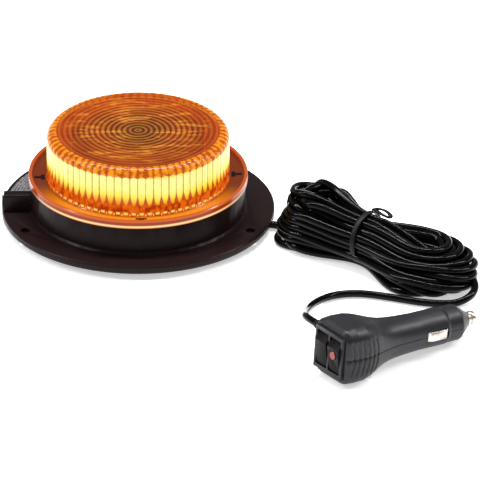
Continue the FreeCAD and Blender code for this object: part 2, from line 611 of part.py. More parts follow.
def loft(body, kind, sections):
    """A loft with straight sides from section to section, added or cut."""
    feature = body.newObject("PartDesign::" + kind, body.Label + "_loft")
    feature.Profile = sections[0]
    feature.Sections = sections[1:]
    feature.Ruled = True
    return feature


def make_shell(name, upper):
    """One half of the plug's case: grip loft, barrel, hollow, openings and a screw post each side."""
    body = new_body(name, PLUG)
    loft(body, "AdditiveLoft", [rounded_section(body, *part) for part in GRIP])
    barrel = new_sketch(body, "XZ_Plane")
    step = "(Sizes.barrel_end - Sizes.step_length)"
    add_outline(barrel, [("Sizes.barrel_start - 2", "0"), ("Sizes.barrel_end", "0"),
                         ("Sizes.barrel_end", STEP_RADIUS), (step, STEP_RADIUS),
                         (f"{step} - Sizes.barrel_step", "Sizes.barrel_radius - 0.1"),
                         ("Sizes.barrel_start - 2", "Sizes.barrel_radius - 0.1")])
    turn(body, barrel, "H_Axis")
    thin = "Sizes.case_wall"
    mouth = f"{BORE} + {thin}"
    hollow = [("Sizes.case_wall + 0.5", *GRIP[1][1:])] + GRIP[2:-1]
    hollow += [("Sizes.barrel_start + 0.5", mouth, mouth, f"{mouth} - 0.1")]
    sections = [rounded_section(body, along, f"{wide} - {thin}", f"{tall} - {thin}", f"{bend} - {thin}")
                for along, wide, tall, bend in hollow]
    loft(body, "SubtractiveLoft", sections)
    bore = new_sketch(body, "YZ_Plane", "Sizes.barrel_end")
    add_circle(bore, BORE)
    pocket(body, bore, "Sizes.barrel_end - Sizes.barrel_start + 2")

    posts = new_sketch(body, "XY_Plane")
    for side in ("-", ""):
        add_circle(posts, "2.6", "Sizes.screw_deep", f"{side}{SCREW_SIDE}")
    pad(body, posts, "Sizes.head_half - 2.5", reverse=not upper)
    pilots = new_sketch(body, "XY_Plane", "8" if upper else "-(Sizes.head_half + 1)")
    for side in ("-", ""):
        add_circle(pilots, "1.12" if upper else "1.4", "Sizes.screw_deep", f"{side}{SCREW_SIDE}")
    pocket(body, pilots, "9" if upper else "Sizes.head_half + 1", reverse=not upper)
    if not upper:
        recess = new_sketch(body, "XY_Plane", "-(Sizes.head_half + 1)")
        for side in ("-", ""):
            add_circle(recess, "2.3", "Sizes.screw_deep", f"{side}{SCREW_SIDE}")
        pocket(body, recess, "4.2", reverse=True)

    opening = new_sketch(body, "YZ_Plane", "Sizes.case_wall + 1")
    edge = f"({BEZEL} - 1.1)"
    add_box(opening, f"-{edge}", edge, f"-{edge}", edge)
    pocket(body, opening, "6")
    window = new_sketch(body, "XZ_Plane")
    reach = "(Sizes.contact_length / 2 + 0.5)"
    add_box(window, f"{CONTACT_MIDDLE} - {reach}", f"{CONTACT_MIDDLE} + {reach}",
            "-Sizes.contact_half - 0.3", "Sizes.contact_half + 0.3")
    pocket(body, window, "Sizes.barrel_radius * 2 + 2", middle=True)
    if upper:
        entry = new_sketch(body, "XZ_Plane", "-(Sizes.head_half + 1)")
        add_circle(entry, "3.1", "8", "5.4")
        pocket(body, entry, "6", reverse=True)
    other = new_sketch(body, "XY_Plane")
    add_box(other, "-5", "Sizes.barrel_end + 5", "-(Sizes.head_half + 3)", "Sizes.head_half + 3")
    pocket(body, other, "Sizes.head_half + 3", reverse=not upper)


def make_bezel():
    """Frame of the two rockers, with its spigot in the switch opening and the pivot bore across."""
    body = new_body("switch_bezel", PLUG)
    frame = new_sketch(body, "YZ_Plane", "-1.8")
    add_box(frame, f"-{BEZEL}", BEZEL, f"-{BEZEL}", BEZEL)
    pad(body, frame, "1.8")
    spigot = new_sketch(body, "YZ_Plane")
    small = f"({BEZEL} - 1.2)"
    add_box(spigot, f"-{small}", small, f"-{small}", small)
    pad(body, spigot, "4.5")
    opening = new_sketch(body, "YZ_Plane", "4.5")
    for side in ("-1", "1"):
        centre = f"{side} * {ROCKER_SIDE}"
        add_box(opening, f"{centre} - {ROCKER_HALF} - 0.2", f"{centre} + {ROCKER_HALF} + 0.2",
                f"-{OPENING}", OPENING)
    pocket(body, opening, "7")
    bore = new_sketch(body, "XZ_Plane")
    add_circle(bore, "Sizes.pivot_radius + 0.06", "Sizes.pivot_deep", "0")
    pocket(body, bore, f"{BEZEL} * 2 + 2", middle=True)


def make_rocker(name, side, lens_seat):
    """A wedge-faced rocker with its pivot pins, centred at the given side."""
    body = new_body(name, PLUG)
    lift = f"{-side} * {ROCKER_SIDE}"
    outline = new_sketch(body, "XZ_Plane", lift)
    add_outline(outline, [("-0.2", ROCKER_TALL), ("-3.4", f"{ROCKER_TALL} - 4.6"),
                          ("-1.2", f"-{ROCKER_TALL}"), ("1.2", f"-{ROCKER_TALL}"),
                          ("3.2", "-3"), ("3.2", "3"), ("1.2", ROCKER_TALL)])
    pad(body, outline, f"{ROCKER_HALF} * 2", middle=True)
    pins = new_sketch(body, "XZ_Plane", lift)
    add_circle(pins, "Sizes.pivot_radius", "Sizes.pivot_deep", "0")
    pad(body, pins, f"{ROCKER_HALF} * 2 + 1.1", middle=True)
    if lens_seat:
        seat = new_sketch(body, "YZ_Plane", "-1.4")
        add_circle(seat, "2.4", f"{side} * {ROCKER_SIDE}", "0.6")
        pocket(body, seat, "5")


def make_plug_inside():
    """Switches, board, leads, fuse train and contacts inside the plug."""
    lens = new_body("power_lens", PLUG)
    section = new_sketch(lens, "YZ_Plane", "-1.4")
    add_circle(section, "2.4", f"-{ROCKER_SIDE}", "0.6")
    pad(lens, section, "1.9", reverse=True)

    for name, side in (("power_switch", "-1"), ("mode_switch", "1")):
        switch = new_body(name, PLUG)
        section = new_sketch(switch, "YZ_Plane", "4.6")
        centre = f"{side} * {ROCKER_SIDE}"
        reach, tall = f"({ROCKER_SIDE} - 0.7)", f"({OPENING} - 0.6)"
        add_box(section, f"{centre} - {reach}", f"{centre} + {reach}", f"-{tall}", tall)
        pad(switch, section, "6")

    board = new_body("plug_board", PLUG)
    section = new_sketch(board, "YZ_Plane", "10.6")
    add_box(section, f"-({BEZEL} - 1.3)", f"{BEZEL} - 1.3", f"-({BEZEL} - 1.8)", f"{BEZEL} - 1.8")
    pad(board, section, "1.2")

    rear = new_body("rear_contact", PLUG)
    disc(rear, "5", f"{SPRING_START} - 1", "1", role="YZ_Plane")
    leads = new_body("plug_leads", PLUG)
    section = new_sketch(leads, "YZ_Plane", "11.8")
    for side in ("-2.5", "2.5"):
        add_circle(section, "0.8", side)
    pad(leads, section, f"{SPRING_START} - 1 - 11.8")

    spring = new_body("contact_spring", PLUG)
    section = new_sketch(spring, "YZ_Plane", SPRING_START)
    add_circle(section, "2.8")
    add_circle(section, "2.1")
    pad(spring, section, "Sizes.spring_length")

    fuse = new_body("fuse", PLUG)
    disc(fuse, "Sizes.fuse_radius", FUSE_START, "Sizes.fuse_length", role="YZ_Plane")

    tip = new_body("tip_contact", PLUG)
    section = new_sketch(tip, "XZ_Plane")
    end = f"({NOSE_END} + Sizes.tip_reach)"
    add_outline(section, [
        ("Sizes.barrel_end - 3", "0"), (end, "0"), (end, "Sizes.tip_radius - 1.4"),
        (f"{end} - 1.2", "Sizes.tip_radius - 0.2"), (f"{end} - 3.6", "Sizes.tip_radius - 0.2"),
        (f"{end} - 3.9", "Sizes.tip_radius - 0.7"), (f"{end} - 4.4", "Sizes.tip_radius - 0.7"),
        (f"{end} - 4.7", "Sizes.tip_radius"), ("Sizes.barrel_end - 0.1", "Sizes.tip_radius"),
        ("Sizes.barrel_end - 0.1", "Sizes.tip_radius + 2"),
        ("Sizes.barrel_end - 3", "Sizes.tip_radius + 2")])
    turn(tip, section, "H_Axis")

    ring = new_body("nose_ring", PLUG)
    section = new_sketch(ring, "XZ_Plane")
    bore = "(Sizes.tip_radius + 0.1)"
    sleeve = f"({BORE} - 0.05)"
    add_outline(section, [
        ("Sizes.barrel_end", bore), (NOSE_END, bore), (NOSE_END, "Sizes.nose_radius"),
        ("Sizes.barrel_end + 1", f"{STEP_RADIUS} - 0.4"), ("Sizes.barrel_end", STEP_RADIUS),
        ("Sizes.barrel_end", sleeve), ("Sizes.barrel_end - 5", sleeve),
        ("Sizes.barrel_end - 5", "Sizes.tip_radius + 2.2"), ("Sizes.barrel_end", "Sizes.tip_radius + 2.2")])
    turn(ring, section, "H_Axis")

    for name, side in (("side_contact_near", "-"), ("side_contact_far", "")):
        contact = new_body(name, PLUG)
        section = new_sketch(contact, "XY_Plane")
        half = "Sizes.contact_length / 2"
        low, high = f"({CONTACT_MIDDLE} - {half})", f"({CONTACT_MIDDLE} + {half})"
        face = "(Sizes.barrel_radius + 0.9)"
        add_outline(section, [
            (low, f"{side}({face} - 2.4)"), (high, f"{side}({face} - 2.4)"),
            (high, f"{side}({face} - 1.4)"), (f"{high} - 2.4", f"{side}{face}"),
            (f"{low} + 2.4", f"{side}{face}"), (low, f"{side}({face} - 1.4)")])
        pad(contact, section, "Sizes.contact_half * 2", middle=True)

    screws = new_body("shell_screws", PLUG)
    seat = "-(Sizes.head_half - 3.2)"
    for side in ("-", ""):
        centre = ("Sizes.screw_deep", f"{side}{SCREW_SIDE}")
        disc(screws, "2.2", seat, "1.7", *centre, reverse=True)
        disc(screws, "1.1", seat, "Sizes.head_half - 3.2 + 7.5", *centre)

    relief = new_body("plug_strain_relief", PLUG)
    section = new_sketch(relief, "XY_Plane", "5.4")
    wall = "(Sizes.head_half - 0.6)"
    add_outline(section, [
        ("8", f"{wall} - 2.6"), ("11.05", f"{wall} - 2.6"), ("11.05", wall), ("11.2", f"{wall} + 0.8"),
        ("11.2", f"{wall} + 1.6"), ("8 + Sizes.cord_radius + 0.3", f"{wall} + 8"), ("8", f"{wall} + 8")])
    core = section.addGeometry(Part.LineSegment(Vector(8, 10, 0), Vector(8, 20, 0)), True)
    for end, level in ((1, f"{wall} - 2.6"), (2, f"{wall} + 8")):
        hold(section, "DistanceX", (-1, 1, core, end), "8")
        hold(section, "DistanceY", (-1, 1, core, end), level)
    turn(relief, section, axis="Axis0")


# ---------------------------------------------------------------- cord
HANK_CENTRE = Vector(121.5, -50.8, 0)
HANK_TURN = -31.0
# Each section of the tied hank: along its length, half width, sideways shift, height.
HANK = [(-55.5, 7.5, 0, 18), (-49, 14.5, 0, 28), (-35, 18.5, 0, 35), (-18, 18, 1, 37), (-4, 14, 1, 31),
        (6, 14.5, 0, 28), (20, 20, -1, 26), (40, 26, -2, 23), (58, 24, -1.5, 19), (70, 16, 0, 14),
        (77, 7, 0, 9)]
LEAD_ROUTE = [(60, -13.0, 3.15), (70, -13.1, 2.8), (79.5, -14.4, 2.3), (87.5, -19.5, 2.6)]
TAIL_ROUTE = [(172.6, -78.7, 8), (179.6, -82.0, 7.6), (184.1, -88.4, 6.6), (184.8, -96.1, 5.1),
              (181.5, -103.1, 3.6), (175.1, -107.6, 2.5), (167.4, -108.3, 2.1), (154.5, -106.2, 2.1),
              (138, -99.9, 2.1), (122, -94.9, 2.1), (109, -96.6, 2.2), (101.0, -104.2, 3.3),
              (95.8, -115.4, 5.9), (92.9, -128, 9.3), (91.7, -140, 13.4), (91.2, -151.5, 17.8)]


def new_shape(name, shape):
    """A sub-part whose shape comes from Part's own functions."""
    feature = doc.addObject("Part::Feature", name)
    feature.Label = name
    feature.Shape = shape
    NODES.append(feature)
    return feature


def tube(name, route):
    """A cord along straight runs joined by arcs, checked against section times length."""
    radius = value("Sizes.cord_radius")
    points = [Vector(*point) for point in route]
    edges, start, bends = [], points[0], []
    for before, corner, after in zip(points, points[1:], points[2:]):
        back, ahead = before - corner, after - corner
        reach = 0.45 * min(back.Length, ahead.Length)
        half_turn = (math.pi - back.getAngle(ahead)) / 2
        bend = reach / math.tan(half_turn)
        back.normalize()
        ahead.normalize()
        inward = (back + ahead).normalize()
        enter, leave = corner + back * reach, corner + ahead * reach
        middle = corner + inward * (math.hypot(bend, reach) - bend)
        edges += [Part.LineSegment(start, enter).toShape(), Part.Arc(enter, middle, leave).toShape()]
        start = leave
        bends.append(round(bend, 1))
    edges.append(Part.LineSegment(start, points[-1]).toShape())
    path = Part.Wire(edges)
    section = Part.Wire(Part.makeCircle(radius, points[0], points[1] - points[0]))
    solid = path.makePipeShell([section], True, False)
    expected = math.pi * radius ** 2 * path.Length
    print(name, "length", round(path.Length, 1), "radii", bends,
          "volume ratio", round(solid.Volume / expected, 4))
    new_shape(name, solid)


def make_cord():
    """Lead from the gland, tied hank, tail to the plug and the tie."""
    gland_end = (value(f"{BOX_END} + 7"), -value("Sizes.gland_side"), value("Sizes.gland_rise"))
    lead_start = (gland_end[0] + 4.2, gland_end[1], gland_end[2])
    tube("cord_lead", [gland_end, lead_start] + LEAD_ROUTE)

    relief_end = Vector(8, value("Sizes.head_half - 0.6 + 8"), 5.4)
    plug_out = PLUG.multVec(relief_end)
    step_out = PLUG.multVec(relief_end + Vector(0, 9.5, 0))
    tube("cord_tail", TAIL_ROUTE + [tuple(step_out), tuple(plug_out)])

    place = Placement(HANK_CENTRE, Rotation(Vector(0, 0, 1), HANK_TURN))
    rings = []
    for along, wide, shift, tall in HANK:
        angles = [math.tau * step / 16 for step in range(17)]
        rings.append(Part.makePolygon([
            Vector(along, shift + wide * math.cos(angle), tall / 2 * (1 + math.sin(angle)))
            for angle in angles]))
    hank = new_shape("cord_hank", Part.makeLoft(rings, True, True))
    hank.Placement = place

    band = []
    for wide, tall in ((15.6, 14.8), (14.2, 13.4)):
        angles = [math.tau * step / 32 for step in range(33)]
        band.append(Part.Face(Part.makePolygon([
            Vector(2.4, 0.2 + wide * math.cos(angle), 15 + tall * math.sin(angle))
            for angle in angles])))
    tie = new_shape("cord_tie", band[0].cut(band[1]).extrude(Vector(3.2, 0, 0)))
    tie.Placement = place


# ---------------------------------------------------------------- build, check and write
make_base_housing()
make_duct_plug()
make_rating_label()
make_bottom_cover()
screw_ring("cover_screws", 6, BOSS_CIRCLE, 30, COVER_LOW, ("2.6", "1.6"),
           ("1.3", "Sizes.cover_thick + Sizes.boss_rise - 1.5"), points_up=False)
make_magnet()
make_cable_entry()
make_driver_board()
screw_ring("board_screws", 4, POST_CIRCLE, 45, BOARD_TOP, ("2.6", "1.6"),
           ("1.2", "Sizes.board_thick + 4.5"))
make_light_tower()
screw_ring("tower_screws", 4, SPACER_CIRCLE, 0, PLATE_TOP, ("2.6", "1.6"),
           ("1.25", "Sizes.plate_thick + 5"))
screw_ring("cap_screws", 4, PILLAR_CIRCLE, 0, CAP_TOP, ("2.4", "1.2"), ("1.2", "Sizes.cap_thick + 5"))
make_lens()
make_shell("plug_shell_upper", True)
make_shell("plug_shell_lower", False)
make_bezel()
make_rocker("power_rocker", -1, True)
make_rocker("mode_rocker", 1, False)
make_plug_inside()
make_cord()
doc.recompute()

faults = [item.Label for item in doc.Objects if {"Invalid", "Error"} & set(item.State)]
for node in NODES:
    if node.Shape.isNull() or not node.Shape.isValid() or not node.Shape.Solids:
        faults.append(node.Label)
if faults:
    raise RuntimeError("these failed: " + ", ".join(sorted(set(faults))))

os.makedirs("parts", exist_ok=True)
for node in NODES:
    node.Shape.exportStep(f"parts/{node.Label}.step")
print(len(NODES), "nodes written")
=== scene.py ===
# %% [markdown]
# # A lit amber beacon with its cord and vehicle plug
# The lamp, cord and plug were engineered first, as solids with joints. This lesson dresses that
# frame: each visible piece gets a finished mesh and each hidden one a believable finish. Everything
# is in metres and stays in the place that the frame gives it.

# %% Load the engineered frame
import bpy
import bmesh
import math
import numpy as np
from mathutils import Matrix, Vector


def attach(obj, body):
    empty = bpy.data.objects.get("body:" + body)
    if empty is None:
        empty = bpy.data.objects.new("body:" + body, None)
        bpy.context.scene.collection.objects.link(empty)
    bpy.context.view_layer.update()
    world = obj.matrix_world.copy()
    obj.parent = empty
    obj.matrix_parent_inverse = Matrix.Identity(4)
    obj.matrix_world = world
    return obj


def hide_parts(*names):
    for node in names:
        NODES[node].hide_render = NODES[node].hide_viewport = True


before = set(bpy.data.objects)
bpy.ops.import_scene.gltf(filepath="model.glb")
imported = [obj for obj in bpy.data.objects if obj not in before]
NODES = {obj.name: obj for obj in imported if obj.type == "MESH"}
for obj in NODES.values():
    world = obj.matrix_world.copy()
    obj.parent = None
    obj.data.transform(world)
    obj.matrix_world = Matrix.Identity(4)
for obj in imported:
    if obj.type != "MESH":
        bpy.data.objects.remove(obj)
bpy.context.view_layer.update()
MM = 0.001

# %% [markdown]
# ## Camera, floor and light
# Catalogue views are taken from far away with a long lens, so circles stay clean ellipses and
# nothing looks swollen. A camera twelve metres off with a very long lens does the same. The plain
# Standard view keeps the white floor white and the blacks deep.

# %% Camera
scene = bpy.context.scene
scene.view_settings.view_transform = "Standard"
TILT = math.radians(27.0)
AIM = Vector((0.0560, -0.0271, 0.0))
CAMERA_DISTANCE = 12.0
camera_data = bpy.data.cameras.new("camera")
camera_data.lens = 1638.0
camera_data.sensor_width = 36.0
camera_data.clip_end = 30.0
camera = bpy.data.objects.new("camera", camera_data)
scene.collection.objects.link(camera)
camera.location = AIM + CAMERA_DISTANCE * Vector((0, -math.cos(TILT), math.sin(TILT)))
camera.rotation_euler = (math.pi / 2 - TILT, 0, 0)
scene.camera = camera
print("camera", [round(number, 3) for number in camera.location])

# %% [markdown]
# ## A few node helpers
# A material here is a small tree of nodes, and most trees need the same steps: a sum, a colour mix,
# a soft threshold, some noise, a bump. Writing each step once keeps the materials short enough to
# read. Noise is always taken from Object coordinates, so a pattern stays put when a piece moves.


# %% Small node helpers
def new_material(name):
    """A material with its node tree cleared down to one shader and the output."""
    material = bpy.data.materials.new(name)
    material.use_nodes = True
    tree = material.node_tree
    shader = tree.nodes["Principled BSDF"]
    return material, tree, shader


def add_node(tree, kind, values=None, **settings):
    """A node with its properties and its unlinked sockets set."""
    node = tree.nodes.new(kind)
    for key, setting in settings.items():
        setattr(node, key, setting)
    for key, number in (values or {}).items():
        node.inputs[key].default_value = number
    return node


def math_node(tree, operation, first, second=None, third=None):
    """A Math node whose inputs are sockets or numbers; returns its result."""
    node = add_node(tree, "ShaderNodeMath", operation=operation)
    for index, item in enumerate((first, second, third)):
        if item is None:
            continue
        if isinstance(item, (int, float)):
            node.inputs[index].default_value = item
        else:
            tree.links.new(item, node.inputs[index])
    return node.outputs[0]


def mix_colour(tree, share, low, high):
    """A colour mix; share, low and high are sockets or constants."""
    node = add_node(tree, "ShaderNodeMix", data_type="RGBA")
    for socket, item in ((node.inputs[0], share), (node.inputs[6], low), (node.inputs[7], high)):
        if isinstance(item, bpy.types.NodeSocket):
            tree.links.new(item, socket)
        elif isinstance(item, (int, float)):
            socket.default_value = item
        else:
            socket.default_value = (*item, 1.0)
    return node.outputs[2]


def flat_distance(tree, first, second):
    """The distance from the origin of a place given by two sockets."""
    squares = math_node(tree, "MULTIPLY_ADD", first, first, math_node(tree, "MULTIPLY", second, second))
    return math_node(tree, "SQRT", squares)


def ramp(tree, source, low, high):
    """0 below low and 1 above high, with a soft step between."""
    node = add_node(tree, "ShaderNodeMapRange", {"From Min": low, "From Max": high},
                    interpolation_type="SMOOTHSTEP")
    tree.links.new(source, node.inputs["Value"])
    return node.outputs["Result"]


def object_noise(tree, scale, detail=3.0, rough=0.5, stretch=(1, 1, 1)):
    """Noise on Object coordinates, with the coordinates stretched."""
    place = add_node(tree, "ShaderNodeTexCoord")
    mapping = add_node(tree, "ShaderNodeMapping", {"Scale": stretch})
    noise = add_node(tree, "ShaderNodeTexNoise", {"Scale": scale, "Detail": detail, "Roughness": rough})
    tree.links.new(place.outputs["Object"], mapping.inputs["Vector"])
    tree.links.new(mapping.outputs["Vector"], noise.inputs["Vector"])
    return noise.outputs["Fac"]


def add_bump(tree, shader, height, distance, strength=1.0):
    """Bump from a height socket, chained after any bump the shader already has."""
    node = add_node(tree, "ShaderNodeBump", {"Strength": strength, "Distance": distance})
    tree.links.new(height, node.inputs["Height"])
    old = shader.inputs["Normal"].links
    if old:
        tree.links.new(old[0].from_socket, node.inputs["Normal"])
    tree.links.new(node.outputs["Normal"], shader.inputs["Normal"])


print("node helpers ready")

# %% [markdown]
# ## Floor and light
# The floor is a sheet of white studio paper with a little light of its own, so that it stays white
# without strong lamps. Three narrow strips, above and at both sides, draw the crisp lines of light
# that glossy black cord shows, and a weak wide lamp in front opens the shadows.


# %% Floor and lamps
def floor_material():
    """Pale studio paper with a barely visible tooth."""
    material, tree, shader = new_material("studio_paper")
    cloud = object_noise(tree, 9.0, 2.0)
    tint = mix_colour(tree, cloud, (0.90, 0.90, 0.90), (0.93, 0.93, 0.93))
    tree.links.new(tint, shader.inputs["Base Color"])
    shader.inputs["Roughness"].default_value = 0.9
    shader.inputs["Specular IOR Level"].default_value = 0.1
    shader.inputs["Emission Color"].default_value = (1.0, 1.0, 1.0, 1.0)
    shader.inputs["Emission Strength"].default_value = 0.5
    return material


def add_floor():
    """One large round sheet of paper under everything."""
    radius, corners, below = 7.0, 64, -0.0002
    mesh = bpy.data.meshes.new("studio_floor")
    turns = [math.tau * step / corners for step in range(corners)]
    rim = [(radius * math.cos(turn), radius * math.sin(turn), below) for turn in turns]
    mesh.from_pydata(rim, [], [tuple(range(corners))])
    mesh.materials.append(floor_material())
    floor = bpy.data.objects.new("studio_floor", mesh)
    scene.collection.objects.link(floor)


def add_lamp(name, place, aim, width, depth, watts):
    """A rectangular soft lamp turned towards a point."""
    data = bpy.data.lights.new(name, "AREA")
    data.shape = "RECTANGLE"
    data.size = width
    data.size_y = depth
    data.energy = watts
    lamp = bpy.data.objects.new(name, data)
    lamp.location = place
    lamp.rotation_euler = (Vector(aim) - Vector(place)).to_track_quat("-Z", "Y").to_euler()
    scene.collection.objects.link(lamp)


add_floor()
world = bpy.data.worlds.new("studio_air")
world.use_nodes = True
world.node_tree.nodes["Background"].inputs["Color"].default_value = (1.0, 1.0, 1.0, 1.0)
world.node_tree.nodes["Background"].inputs["Strength"].default_value = 0.2
scene.world = world
add_lamp("overhead_strip", (0.05, 0.25, 1.3), (0.06, -0.03, 0.0), 1.3, 0.06, 26)
add_lamp("left_strip", (-1.1, -0.1, 1.0), (0.05, -0.05, 0.02), 0.07, 0.8, 10)
add_lamp("right_strip", (1.1, 0.1, 0.9), (0.08, -0.05, 0.02), 0.07, 0.8, 10)
add_lamp("front_fill", (0.1, -1.3, 1.1), (0.06, -0.03, 0.02), 0.9, 0.4, 1.6)
print("floor and", len(bpy.data.lights), "lamps")

# %% [markdown]
# ## The cord's route
# The cord is the hardest thing to get right, so it comes first. Its line is one smooth curve from
# the gland under the lamp to the plug: a short lead, a hank of many turns held by a tie, and a tail
# that curls out and comes back to the plug. The points of the lead and tail are the ones that the
# engineered tubes were bent through.

# %% Lead and tail points, in millimetres
CORD_RADIUS = 2.1
LEAD = [(51, -13, 3.2), (55.2, -13, 3.2), (60, -13.0, 3.15), (70, -13.1, 2.8), (79.5, -14.4, 2.3),
        (87.5, -19.5, 2.6)]
TAIL = [(172.6, -78.7, 8), (179.6, -82.0, 7.6), (184.1, -88.4, 6.6), (184.8, -96.1, 5.1),
        (181.5, -103.1, 3.6), (175.1, -107.6, 2.5), (167.4, -108.3, 2.1), (154.5, -106.2, 2.1),
        (138, -99.9, 2.1), (122, -94.9, 2.1), (109, -96.6, 2.2), (101.0, -104.2, 3.3),
        (95.8, -115.4, 5.9), (92.9, -128, 9.3), (91.7, -140, 13.4), (91.2, -151.5, 17.8)]

# %% [markdown]
# The plug has its own frame: +X runs from the switch face to the tip and +Y is the side where the
# cord comes out. Its nose droops a little because the head is fatter than the barrel and both rest
# on the floor.

# %% The plug's frame
HEAD_HALF, HEAD_DEEP = 16.5, 14.0
BARREL_RADIUS, BARREL_END = 10.5, 83.0
ENTRY_ALONG, ENTRY_UP, ENTRY_OUT = 8.0, 5.4, 23.9
DROOP = math.atan((HEAD_HALF - BARREL_RADIUS) / (BARREL_END - HEAD_DEEP))
PLUG_HEIGHT = HEAD_HALF * math.cos(DROOP) + HEAD_DEEP * math.sin(DROOP) + 0.15
PLUG = (Matrix.Translation((105.2, -195.5, PLUG_HEIGHT)) @ Matrix.Rotation(math.radians(36.5), 4, "Z")
        @ Matrix.Rotation(DROOP, 4, "Y"))
TAIL += [tuple(PLUG @ Vector((ENTRY_ALONG, ENTRY_OUT + step, ENTRY_UP))) for step in (9.5, 0.0)]
print("the cord meets the plug at", [round(number, 1) for number in TAIL[-1]])

# %% [markdown]
# ## The hank
# Someone wound this cord round a hand and tied it in the middle. Every turn is a long flat loop, a
# little different from the last, squeezed at the tie and spread at both ends. Drawing them all by
# hand would look copied, so a loop lays them out by rule and then lets them settle: strands that
# overlap push each other apart, and none may sink into the floor. The outline that holds the heap
# follows the engineered hank, but at the left end it is moved up to 5 mm sideways and is up to 3 mm
# taller.

# %% Outline of the hank
HANK_CENTRE = np.array([121.5, -50.8, 0.0])
HANK_TURN = math.radians(-31.0)
ALONG = np.array([math.cos(HANK_TURN), math.sin(HANK_TURN), 0.0])
ACROSS = np.array([-math.sin(HANK_TURN), math.cos(HANK_TURN), 0.0])
UP = np.array([0.0, 0.0, 1.0])
# distance along the hank, half width, sideways shift, height
OUTLINE = np.array([(-55.5, 7.5, 5, 20), (-49, 14.5, 5, 31), (-35, 18.5, 4, 38), (-18, 18, 2, 38),
                    (-4, 14, 1, 31), (6, 14.5, 0, 28), (20, 20, -1, 26), (40, 26, -2, 23),
                    (58, 24, -1.5, 19), (70, 16, 0, 14), (77, 7, 0, 9)])
TIE_AT = 4.0
TURNS = 16


def outline(along, column):
    """One measure of the hank's outline at a distance along it."""
    return np.interp(along, OUTLINE[:, 0], OUTLINE[:, column])


def in_hank(rows):
    """Points in the hank's axes turned into the frame's, in millimetres."""
    rows = np.asarray(rows, dtype=float)
    return HANK_CENTRE + rows[:, :1] * ALONG + rows[:, 1:2] * ACROSS + rows[:, 2:] * UP


print("hank", OUTLINE[-1, 0] - OUTLINE[0, 0], "mm long,", OUTLINE[:, 3].max(), "mm high")

# %% [markdown]
# One turn is a pair of long sides with a bend at each end. Its two ends spread from the tie with a
# smooth step, and a few small random shifts keep neighbours from lying in step. The generator has a
# fixed seed, so the hank comes out the same every time.


# %% One turn of the hank
def ease(number):
    """A smooth step from 0 to 1."""
    number = min(max(number, 0.0), 1.0)
    return number * number * (3 - 2 * number)


def turn_points(index, rng):
    """The control points of one turn: out along the far side, round, and back along the near side."""
    level = (index // 2) / (TURNS // 2 - 1)
    inner = index % 2
    left_end = -48.5 + 9.0 * level ** 1.6 + rng.uniform(-1.2, 1.2)
    right_end = 58.5 + 11.5 * math.sin(math.pi * level ** 0.9) - 9 * level ** 2 + rng.uniform(-2.5, 2.5)
    left_half = 15.6 - 3.8 * inner + rng.uniform(-0.6, 0.6)
    right_half = 17.5 - 4.2 * inner + rng.uniform(-1.0, 1.0)
    right_shift = -7.5 + 15 * level + rng.uniform(-1.5, 1.5)
    left_shift = 2.5 + 4.0 * level + rng.uniform(-0.8, 0.8)
    chord = math.sqrt(max(11.6 ** 2 - (11.0 * (2 * level - 1)) ** 2, 9))
    tie_half = chord * (0.42 if inner else 0.98)
    heights = (2.1 + 34.0 * level, 3.0 + 21.5 * level, 2.1 + 15.5 * level)

    def spot(along, side):
        """A point of the far side, the near side or the middle of the turn."""
        toward_left = ease((TIE_AT - along) / 40)
        toward_right = ease((along - TIE_AT) / 38)
        half = tie_half + (left_half - tie_half) * toward_left + (right_half - tie_half) * toward_right
        shift = left_shift * toward_left + right_shift * toward_right
        height = (heights[1] + (heights[0] - heights[1]) * toward_left
                  + (heights[2] - heights[1]) * toward_right)
        return along, shift + side * half, height

    first, last = left_end + left_half, right_end - right_half
    stations = [first + (last - first) * step / 7 for step in range(8)]
    out = [spot(along, 1) for along in stations]
    back = [spot(along, -1) for along in reversed(stations)]
    bend_right, bend_left = [], []
    for step in (60, 30, 0, -30, -60):
        angle = math.radians(step)
        _, side_right, high_right = spot(last, 0)
        _, side_left, high_left = spot(first, 0)
        sag = 1.5 * math.cos(angle)
        bend_right.append((last + right_half * math.cos(angle), side_right + right_half * math.sin(angle),
                           high_right - sag))
        bend_left.append((first - left_half * math.cos(angle), side_left - left_half * math.sin(angle),
                          high_left))
    return out + bend_right + back + bend_left


def lay_out_hank():
    """All turns in order, and the half turn that leads out to the tail, in the hank's own axes."""
    rng = np.random.default_rng(7)
    points = []
    for index in range(TURNS):
        points += turn_points(index, rng)
    last = turn_points(TURNS - 1, rng)
    points += [(along, side * 0.6 + 2.5, height + 3.5 - 0.16 * max(along, 0))
               for along, side, height in last[:6]]
    return np.array(points)


laid = lay_out_hank()
print(TURNS, "turns,", len(laid), "points")

# %% [markdown]
# Settling works on points sampled along every strand. Where two strands are closer than one diameter,
# both are pushed back by half the overlap, and the push is shared out to the control points that
# shape that stretch. A little smoothing after each round stops a strand from kinking.


